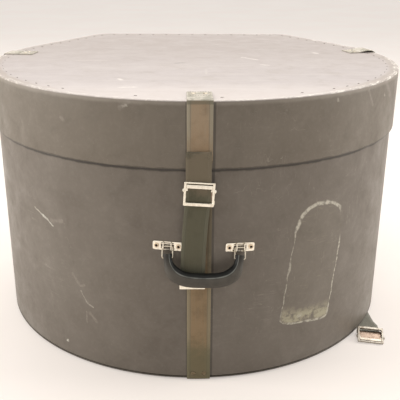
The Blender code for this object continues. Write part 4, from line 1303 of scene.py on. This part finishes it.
def build_buckles():
    ring, clamp = buckle_frame("ring_pattern"), buckle_clamp("clamp_pattern")
    pivot = Matrix.Rotation(BUCKLE_LEAN, 4, "Y") @ Matrix.Translation((0, -PIVOT_OFF, PIVOT_Z))
    floor_place = Matrix.Translation((*LOOSE_BAR, BAR_OFF)) @ turn_z(LOOSE_TURN + pi)
    hinge = Matrix.Rotation(-pi / 2 - LOOSE_DIP, 4, "X")
    places = {side: side_frame(side) @ Matrix.Translation((BUCKLE_X, -BODY_R, BUCKLE_Z))
              for side in ("front", "left")}
    places["right"] = floor_place @ hinge @ Matrix.Translation((0, BAR_OFF, -BAR_Z))
    for side, spot in places.items():
        body = "loose_buckle" if side == "right" else "body"
        undone = side == "right"
        made = copy_of(ring, f"{side}_ring", spot)
        two_looks(made, DULL_NICKEL if undone else NICKEL, COPPER, body, f"{side}_buckle_frame")
        made = copy_of(clamp, f"{side}_clamp_bar", spot @ pivot)
        dress(made, CREAM_NICKEL if undone else NICKEL, f"{side}_clamp", [f"{side}_buckle_clamp"])
    for pattern in (ring, clamp):
        bpy.data.objects.remove(pattern, do_unlink=True)


# ---- Handle ----------------------------------------------------------------------------------

def handle_plate():
    """A plate with a window and a bridge over the wire loop; the wall's face is y = 0."""
    half_h = PLATE_H / 2
    low, high = -GAP, -GAP - PLATE_T
    under, over = -BRIDGE_UNDER, -BRIDGE_UNDER - BRIDGE_T
    plate = block("plate_pattern", (-PLATE_W / 2, high, -half_h), (PLATE_W / 2, low, half_h))
    bevel_edges(plate, along(1), PLATE_CORNER, 4)
    window = block("window", (-WINDOW_W / 2, over, -WINDOW_H / 2), (WINDOW_W / 2, 0.001, WINDOW_H / 2))
    bevel_edges(window, along(1), WINDOW_CORNER, 3)
    cut(plate, window)
    for x in (-RIVET_HALF, RIVET_HALF):
        cut(plate, rod("hole", (x, 0.001, 0), (x, -0.003, 0), RIVET_BORE, 16))
    softened(plate, 0.0003, 2, 60)
    weld(plate, block("window_bar", (-WINDOW_W / 2 - 0.0005, high + 0.0002, WINDOW_BAR[0]),
                      (WINDOW_W / 2 + 0.0005, low - 0.0002, WINDOW_BAR[1])))
    for x in (-BRIDGE_AT, BRIDGE_AT):
        left, right = x - BRIDGE_W / 2, x + BRIDGE_W / 2
        bridge = block("bridge", (left, over, -half_h), (right, low - PLATE_T / 2, half_h))
        bevel_edges(bridge, lambda e: along(0)(e) and max(v.co.y for v in e.verts) < under, BRIDGE_BEND, 4)
        inside = half_h - BRIDGE_LEG
        cut(bridge, block("tunnel", (left - GAP, under, -inside), (right + GAP, low, inside)))
        softened(bridge, 0.0002, 2, 60)
        weld(plate, bridge)
    return plate


def tubular_rivet():
    """An eyelet-headed rivet: a rolled ring round a hole painted dark as shade, on its shank; the head starts
    at y = 0.
    """
    obj = rod("rivet_pattern", (0, SHANK, 0), (0, -HEAD_H, 0), HEAD_R, 28)
    edit(obj)
    pick("FACE", lambda f: f.normal.y < -0.9)
    bpy.ops.mesh.inset(thickness=HEAD_RING)
    bpy.ops.mesh.extrude_region_move(TRANSFORM_OT_translate={"value": (0, HOLE_DEEP, 0)})
    bpy.ops.mesh.inset(thickness=HOLE_SLOPE)
    done()
    bevel_edges(obj, lambda e: all(v.co.y < 0.0001 - HEAD_H for v in e.verts), HEAD_EDGE, 3)
    for face in obj.data.polygons:
        if hypot(face.center.x, face.center.z) < 0.0022 and -0.0012 < face.center.y < 0.003:
            face.material_index = 1
    return obj


def wire_loop(name, x, matrix, node):
    """A closed loop of wire: a curve through its corners, made a mesh."""
    side, foot = LOOP_HALF - LOOP_BEND, LOOP_BEND - LOOP_LEN
    corners = [(side, -LOOP_BEND), (side, foot), (-side, foot), (-side, -LOOP_BEND)]
    points = []
    for i, corner in enumerate(corners):
        start = pi / 2 * (1 - i)
        points += [(x + px, 0, pz) for px, pz in arc(corner, LOOP_BEND, start, start - pi / 2, 6)]
    obj = tube(name, points, LOOP_WIRE, closed=True)
    obj.data.transform(matrix)
    dress(obj, WIRE, "handle", [node])


def tube(name, points, radius, closed=False, radii=None, sides=3):
    """A round tube through points, made a mesh."""
    curve = bpy.data.curves.new(name, "CURVE")
    curve.dimensions = "3D"
    curve.bevel_depth = radius
    curve.bevel_resolution = sides
    curve.use_fill_caps = not closed
    spline = curve.splines.new("POLY")
    spline.points.add(len(points) - 1)
    for i, (point, spot) in enumerate(zip(spline.points, points)):
        point.co = (*spot, 1)
        point.radius = radii[i] if radii else 1.0
    spline.use_cyclic_u = closed
    obj = bpy.data.objects.new(name, curve)
    bpy.context.scene.collection.objects.link(obj)
    only(obj)
    bpy.ops.object.convert(target="MESH")
    obj = bpy.context.object
    edit(obj)
    bpy.ops.mesh.select_all(action="SELECT")
    bpy.ops.mesh.remove_doubles(threshold=0.00001)
    bpy.ops.mesh.normals_make_consistent(inside=False)
    done()
    return obj


def grip(matrix):
    """The moulded grip: thin at its ends, thick in the hand, a raised seam along its middle."""
    power = 2 / GRIP_POWER
    first = asin((GRIP_TOP / GRIP_DROP) ** (1 / power))
    count = 64
    path, radii = [], []
    for i in range(count + 1):
        a = first + (pi - 2 * first) * i / count
        side = 1 if cos(a) > 0 else -1
        point = (side * MOUNT_HALF * abs(cos(a)) ** power, 0, -GRIP_DROP * sin(a) ** power)
        thick = smooth_step(min(1.0, max(0.0, (-point[2] - GRIP_THIN) / GRIP_SWELL)))
        path.append(point)
        radii.append((GRIP_END_R + (GRIP_MID_R - GRIP_END_R) * thick) / GRIP_MID_R)
    obj = tube("grip_covering", path, GRIP_MID_R, radii=radii, sides=18)
    edit(obj)
    pick("FACE", lambda f: len(f.verts) > 8)
    bpy.ops.mesh.inset(thickness=0.0012)
    bpy.ops.transform.resize(value=(0.9, 0.9, 0.9))
    done()
    softened(obj, 0.0010, 3, 60)
    inward = obj.data.attributes.new("inward", "FLOAT", "POINT")
    for vert, mark in zip(obj.data.vertices, inward.data):
        i = min(range(len(path)), key=lambda i: (vert.co - Vector(path[i])).length)
        centre = Vector(path[i])
        mark.value = (vert.co - centre).dot((GRIP_EYE - centre).normalized()) / (radii[i] * GRIP_MID_R)
        ridge = max(0.0, 1 - abs(mark.value - RIDGE_AT) / RIDGE_WIDE)
        vert.co += (vert.co - centre).normalized() * ridge * RIDGE_H
        vert.co.y *= GRIP_DEEP
    obj.data.transform(matrix)
    dress(obj, GRIP, "handle", ["handle_grip"], 50)


def build_handle():
    level = Matrix.Translation((0, 0, HANDLE_Z)) @ turn_z(HANDLE_AZ) @ Matrix.Rotation(HANDLE_TILT, 4, "Y")
    bow = asin(MOUNT_HALF / BODY_R)
    plate, eyelet = handle_plate(), tubular_rivet()
    for side, sign in (("left", -1), ("right", 1)):
        spot = level @ turn_z(sign * bow) @ Matrix.Translation((0, -BODY_R, 0))
        made = copy_of(plate, f"{side}_handle_mount", spot)
        dress(made, NICKEL, "body", [f"handle_plate_{side}"])
        for i, x in enumerate((-RIVET_HALF, RIVET_HALF)):
            made = copy_of(eyelet, f"{side}_handle_eyelet_{i + 1}",
                           spot @ Matrix.Translation((x, -GAP - PLATE_T, 0)))
            two_looks(made, EYELET, RIVET_HOLE, "body", f"handle_{side}_rivet_{i + 1}")
    for pattern in (plate, eyelet):
        bpy.data.objects.remove(pattern, do_unlink=True)
    axis = level @ Matrix.Translation((0, -(BODY_R + AXIS_OFF) * cos(bow), 0))
    axis = axis @ Matrix.Rotation(-HANG, 4, "X")
    for side, sign in (("left", -1), ("right", 1)):
        wire_loop(f"{side}_wire_loop", sign * MOUNT_HALF, axis, f"handle_loop_{side}")
    grip(axis)


# ---- Sewing ----------------------------------------------------------------------------------

def stitch(length, wide, high):
    """One stitch along X on a face at z = 0, its ends drawn down into their holes."""
    obj = block("stitch_pattern", (-length / 2, -wide / 2, -high), (length / 2, wide / 2, high))
    edit(obj)
    pick("EDGE", along(0))
    bpy.ops.mesh.subdivide(number_cuts=3)
    done()
    for vert in obj.data.vertices:
        share = abs(vert.co.x) / (length / 2)
        if vert.co.z > 0:
            vert.co.z = high * (1 - share ** 3) - high * 0.4 * (share > 0.9)
            vert.co.y *= 0.6
    return obj


def rim_points():
    """Places of the panel's stitches with their directions, evenly along the plan inside the rim."""
    ring = plan("stitch_line", LID_OUT - RIM_STITCH_IN, CASE_H)
    loop = [ring.data.vertices[i].co.copy() for i in ring.data.polygons[0].vertices]
    bpy.data.objects.remove(ring, do_unlink=True)
    total = sum((b - a).length for a, b in zip(loop, loop[1:] + loop[:1]))
    count = floor(total / RIM_STITCH_STEP)
    step, spots, left = total / count, [], 0.0
    for a, b in zip(loop, loop[1:] + loop[:1]):
        line = b - a
        while left < line.length:
            spots.append((a + line.normalized() * left, line.normalized()))
            left += step
        left -= line.length
    return spots


def under_strap(spot):
    """Whether a lid strap lies over a spot of the panel."""
    for az in STRAP_AZ.values():
        out, across = radial(az, 1, 0), radial(az + pi / 2, 1, 0)
        if spot.dot(out) > LID_R - LID_WEB_IN - RIM_STITCH and abs(spot.dot(across)) < WEB_W / 2 + 0.006:
            return True
    return False


def rim_sewing():
    pattern = stitch(RIM_STITCH, *RIM_THREAD)
    made = []
    for i, (spot, line) in enumerate(rim_points()):
        if under_strap(spot) or (spot.y < RIM_WORN_Y and i % RIM_STITCH_SEEN):
            continue
        shake = 0.0016 * noise.noise(Vector((i * 3.7, 0.2, 0.4)))
        turn = turn_z(line.to_2d().angle_signed(Vector((1, 0))) + 10 * shake)
        made.append(copy_of(pattern, f"rim_stitch_{i}", Matrix.Translation(spot) @ turn))
    bpy.data.objects.remove(pattern, do_unlink=True)
    dress(joined("lid_rim_stitches", made), DARK_THREAD, "lid")


def run_of_stitches(pattern, start, end, normal):
    """Copies of a stitch in a row from start to end on a face with a normal."""
    line = end - start
    count = round(line.length / STRAP_STITCH_STEP)
    x = line.normalized()
    turn = Matrix((x, normal.cross(x), normal)).transposed().to_4x4()
    return [copy_of(pattern, f"sewn_{i}", Matrix.Translation(start + line / count * (i + 0.5)) @ turn)
            for i in range(count)]


def sewn_rows(pattern, name, side, body, lines, normal):
    """Rows of stitches along lines on a face at the front, joined and turned to a strap's side."""
    rows = []
    for start, end in lines:
        rows += run_of_stitches(pattern, Vector(start), Vector(end), Vector(normal))
    for row in rows:
        row.data.transform(side_frame(side))
    dress(joined(f"{side}_{name}_sewing", rows), TAN_THREAD, body)


def strap_sewing():
    """Sewn rows across the lid straps' ends and through the turned-back ends at the buckles."""
    pattern = stitch(STRAP_STITCH, *STRAP_THREAD)
    half = WEB_W / 2 - STRAP_STITCH_IN
    top, inner = CASE_H + GAP + WEB_T, -(LID_R - LID_WEB_IN) - STRAP_STITCH_IN
    corners = [(-half, inner, top), (half, inner, top), (half, inner - STRAP_PATCH, top),
               (-half, inner - STRAP_PATCH, top)]
    for side in STRAP_AZ:
        sewn_rows(pattern, "lid_strap", side, "lid", zip(corners, corners[1:] + corners[:1]), (0, 0, 1))
    lap_y, bar_z = -(WEB_R + WEB_T + GAP + WEB_T / 2) + 0.0002, BUCKLE_Z + BAR_Z
    rows = [((-half, lap_y, z), (half, lap_y, z))
            for z in (bar_z - LAP_FROM - LAP_STITCH_IN, bar_z - LAP_END + LAP_STITCH_IN)]
    for side in ("front", "left"):
        sewn_rows(pattern, "lap", side, "body", rows, (0, -1, 0))
    bpy.data.objects.remove(pattern, do_unlink=True)


# ---- Camera, floor and light -----------------------------------------------------------------

EYE = Vector((-0.02525, -1.32797, 0.67728))
PITCH = 0.36009                   # the view looks down by this much
YAW = 0.02738
ROLL = 0.00651
SENSOR = 36.0                     # millimetres
LENS = 61.11
FLOOR_GLOW = 0.42                 # the floor's own light, which only the camera and reflections see
ROOM_LIGHT = 0.50                 # the world's light on the case
BACKDROP = 0.45                   # and how much brighter the camera sees the world
CEILING_WHITE = (1.0, 0.97, 0.94)
WINDOW_WHITE = (1.0, 0.97, 0.93)


def add_camera():
    right = Vector((cos(YAW), -sin(YAW), 0))
    ahead = Vector((sin(YAW) * cos(PITCH), cos(YAW) * cos(PITCH), -sin(PITCH)))
    up = right.cross(ahead)
    level = cos(ROLL) * right + sin(ROLL) * up
    upright = -sin(ROLL) * right + cos(ROLL) * up
    data = bpy.data.cameras.new("view")
    data.lens = LENS
    data.sensor_width = SENSOR
    data.clip_start = 0.01
    camera = bpy.data.objects.new("view", data)
    turn = Matrix((level, upright, -ahead)).transposed().to_4x4()
    camera.matrix_world = Matrix.Translation(EYE) @ turn
    bpy.context.scene.collection.objects.link(camera)
    bpy.context.scene.camera = camera


def seen_rays(tree):
    """1 where the camera looks, straight or by a reflection, and 0 for light on the case."""
    path = put(tree, "LightPath")
    return most(path.outputs["Is Camera Ray"], path.outputs["Is Glossy Ray"])


def add_floor():
    bpy.ops.object.select_all(action="DESELECT")
    bpy.ops.mesh.primitive_plane_add(size=40.0, location=(0, 0, -0.0002))
    obj = added("studio_floor")
    made, tree, shader = material("pale_floor", 0.55)
    tint = between(clouds(object_place(tree), 2.0, 3.0), 0.3, 0.7)
    tree.links.new(blend_colour(tint, (0.56, 0.52, 0.485, 1), (0.60, 0.555, 0.52, 1)),
                   shader.inputs["Base Color"])
    seen = seen_rays(tree)
    shader.inputs["Emission Color"].default_value = (1.0, 0.93, 0.875, 1)
    tree.links.new(times(seen, FLOOR_GLOW), shader.inputs["Emission Strength"])
    shader.inputs["Specular IOR Level"].default_value = 0.2
    obj.data.materials.append(made)


def add_lamp(name, spot, target, size, power, colour):
    data = bpy.data.lights.new(name, "AREA")
    data.shape = "RECTANGLE"
    data.size, data.size_y = size
    data.energy = power
    data.color = colour
    lamp = bpy.data.objects.new(name, data)
    lamp.location = spot
    lamp.rotation_euler = (Vector(target) - Vector(spot)).to_track_quat("-Z", "Y").to_euler()
    bpy.context.scene.collection.objects.link(lamp)


def add_light():
    world = bpy.data.worlds.new("studio")
    world.use_nodes = True
    tree = world.node_tree
    ground = tree.nodes["Background"]
    seen = seen_rays(tree)
    colour = blend_colour(seen, (1.0, 0.965, 0.93, 1), (1.0, 0.965, 0.935, 1))
    tree.links.new(colour, ground.inputs["Color"])
    tree.links.new(plus(ROOM_LIGHT, times(seen, BACKDROP)), ground.inputs["Strength"])
    bpy.context.scene.world = world
    add_lamp("ceiling", (0.1, 0.9, 2.8), (0, 0.1, 0.3), (3.4, 2.4), 62.0, CEILING_WHITE)
    add_lamp("window_left", (-3.1, -0.5, 1.5), (0, 0, 0.25), (1.4, 1.4), 74.0, WINDOW_WHITE)
    add_lamp("window_right", (3.0, -0.1, 1.4), (0, 0, 0.25), (1.4, 1.4), 54.0, WINDOW_WHITE)
    bpy.context.scene.view_settings.view_transform = "Standard"


def dress_solids():
    """The base panel keeps its solid and gets a dark finish, painted shade along the foot, aged as well; the
    small rivets keep their solids and get aged finishes.
    """
    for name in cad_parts:
        obj = bpy.data.objects.get(name)
        if not obj or name.startswith("handle"):
            continue
        look = BASE_LOOK if name == "base_panel" else RIVET if "rivet" in name else None
        if look and "lid_rivet" in name:
            look = PALE_RIVET
        for slot in obj.material_slots:
            slot.material = look or slot.material


add_camera()
add_floor()
add_light()
build_shells()
for strap_side, strap_low in (("front", LID_WEB_END), ("left", LID_WEB_END), ("right", RIGHT_WEB_END)):
    lid_strap(strap_side, strap_low)
tongues()
upright_straps()
undone_strap()
build_buckles()
build_handle()
rim_sewing()
strap_sewing()
dress_solids()
